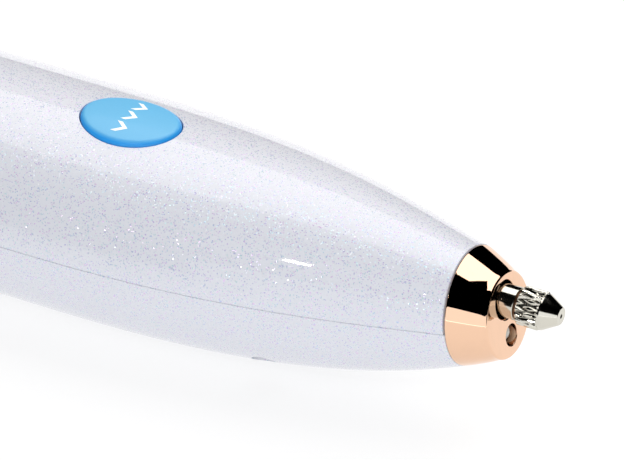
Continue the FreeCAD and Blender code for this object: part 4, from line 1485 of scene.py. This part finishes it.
def dress_insides() -> None:
    """Give every CAD node the finish of its slot."""
    for row in frame["record"]["subparts"]:
        look = SLOT_LOOKS[row["material_slot"]]
        node = frame["nodes"][row["node"]]
        for slot in node.material_slots:
            slot.material = look.value.material()
    log.info("%d CAD nodes dressed", len(frame["nodes"]))


# ---------------------------------------------------------------- the studio
@dataclass
class Panel:
    """A rectangular light that faces the pen.

    Attributes:
        name: Name of the light.
        centre: Place of its middle, in metres.
        size: Width and height, in metres.
        radiance: Brightness of its surface.
        color: Its colour.
        seen: Whether it shows in reflections.
        target: Where it faces, in metres.
    """
    name: str
    centre: Point
    size: Pair
    radiance: float
    color: Color = (1.0, 1.0, 1.0)
    seen: bool = True
    target: Point = (0.05, 0.0, 0.02)

    def build(self) -> None:
        """Hang the light."""
        lamp = bpy.data.lights.new(self.name, "AREA")
        lamp.shape = "RECTANGLE"
        lamp.size, lamp.size_y = self.size
        lamp.energy = self.radiance * WATTS_PER_RADIANCE * self.size[0] * self.size[1]
        lamp.color = self.color
        hung = place_object(self.name, lamp)
        aim = Vector(self.target) - Vector(self.centre)
        turned = aim.to_track_quat("-Z", "Y").to_matrix().to_4x4()
        hung.matrix_world = Matrix.Translation(self.centre) @ turned
        hung.visible_glossy = self.seen
        hung.visible_camera = False


@dataclass
class Studio:
    """Pale floor, soft light and the camera.

    Attributes:
        azimuth: Where the camera stands, in degrees from -Y towards +X.
        elevation: How far it looks down.
        roll: Its turn about its own line of sight.
        distance: From the nozzle tip to the camera.
        shown_width: Width that the view takes in at the tip.
        aside: How far the image's middle is to the left of the tip.
        above: How far the image's middle is above the tip.
        sensor: Width of the camera's sensor.
        ambient: Brightness of the even light from all round.
        sheet_glow: Light that the floor gives off.
        floor_half: Half the floor's width, in metres.
        floor_steps: Squares along each side of the floor.
        floor_level: Height of the floor, just under the pen.
    """
    azimuth: float = 29.6
    elevation: float = 33.3
    roll: float = -0.8
    distance: float = 900.0
    shown_width: float = 94.55
    aside: float = 37.76
    above: float = -13.11
    sensor: float = 36.0
    ambient: float = 0.34
    sheet_glow: float = 0.75
    floor_half: float = 3.0
    floor_steps: int = 24
    floor_level: float = -0.02

    def build(self) -> None:
        """Set the floor, the lights, the sky and the camera."""
        self._floor()
        self._sky()
        for panel in self._panels():
            panel.build()
        self._camera()
        bpy.context.scene.view_settings.view_transform = "Standard"

    def _floor(self) -> None:
        """A white sheet under the pen."""
        half, steps, row = self.floor_half / MM, self.floor_steps, self.floor_steps + 1
        points = [(half * (2 * i / steps - 1), half * (2 * j / steps - 1), self.floor_level)
                  for i in range(row) for j in range(row)]
        faces = [(corner, corner + row, corner + row + 1, corner + 1)
                 for corner in (i * row + j for i in range(steps) for j in range(steps))]
        sheet = bpy.data.meshes.new("floor")
        sheet.from_pydata([tuple(value * MM for value in point) for point in points], [], faces)
        floor = place_object("floor", sheet)
        paper = Finish("white_sheet", (0.25, 0.25, 0.25), 0.9, grain=2.0, shade=0.005, relief=0.0).material()
        shader = principled(paper)
        shader.inputs["Emission Color"].default_value = (1.0, 1.0, 1.0, 1.0)
        shader.inputs["Emission Strength"].default_value = self.sheet_glow
        sheet.materials.append(paper)

    def _sky(self) -> None:
        """Even light from all round that reflections don't show."""
        world = bpy.data.worlds.new("room")
        world.use_nodes = True
        graph = Graph(world.node_tree)
        light = graph.node("ShaderNodeBackground", inputs={"Color": (1.0, 1.0, 1.0, 1.0),
                                                           "Strength": self.ambient})
        output = graph.node("ShaderNodeOutputWorld")
        graph.tree.links.new(light.outputs[0], output.inputs["Surface"])
        bpy.context.scene.world = world
        world.cycles_visibility.glossy = False

    def _panels(self) -> list[Panel]:
        """The large soft light overhead, the small bright one and the card before the pen."""
        return [
            Panel("soft_light", (-0.10, 0.37, 0.80), (1.04, 0.82), 1.65, (1.0, 0.985, 0.965),
                  target=(-0.10, 0.37, 0.0)),
            Panel("side_fill", (0.35, -1.0, 0.95), (0.9, 0.7), 2.3, (0.97, 0.985, 1.0), seen=False),
            Panel("back_fill", (0.0, 1.3, 0.75), (1.6, 0.9), 2.5, (1.0, 0.95, 0.90), seen=False),
            Panel("small_light", (0.005, -0.68, 0.61), (0.05, 0.05), 60.0, (1.0, 0.98, 0.96)),
            Panel("front_card", (0.35, -0.62, 0.15), (1.1, 0.30), 1.0, (0.97, 0.98, 1.0)),
        ]

    def _camera(self) -> None:
        """The camera, placed from its angles and from where the tip falls in the image."""
        turn, rise, roll = (math.radians(angle) for angle in (self.azimuth, self.elevation, self.roll))
        toward = Vector((math.sin(turn) * math.cos(rise), -math.cos(turn) * math.cos(rise), math.sin(rise)))
        level = Vector((math.cos(turn), math.sin(turn), 0.0))
        upward = toward.cross(level)
        right = math.cos(roll) * level + math.sin(roll) * upward
        up = math.cos(roll) * upward - math.sin(roll) * level
        tip = Vector((TIP_X, 0.0, AXIS_Z))
        place = tip - self.aside * right - self.above * up + self.distance * toward
        data = bpy.data.cameras.new("camera")
        data.sensor_width = self.sensor
        data.lens = self.sensor * self.distance / self.shown_width
        data.clip_start, data.clip_end = 0.01, 20.0
        camera = place_object("camera", data)
        turn_matrix = Matrix((right, up, toward)).transposed().to_4x4()
        camera.matrix_world = Matrix.Translation(place * MM) @ turn_matrix
        bpy.context.scene.camera = camera


def main() -> None:
    """Build the pen and its studio in order."""
    logging.basicConfig(level=logging.INFO, format="%(name)s: %(message)s")
    form = EggForm()
    buttons = [FeedButton("out_button", 1), FeedButton("in_button", -1)]
    slider = SliderFrame(form)
    shells = Shells(form)
    dress_insides()
    shells.build(slider, buttons)
    TailCap(form).build()
    NoseCap(form).build()
    Nozzle().build()
    Indicator().build()
    for button in buttons:
        button.build()
    SpeedSlider(slider).build()
    ShellScrews(shells.screw_spots()).build()
    Studio().build()


if __name__ == "__main__":
    main()
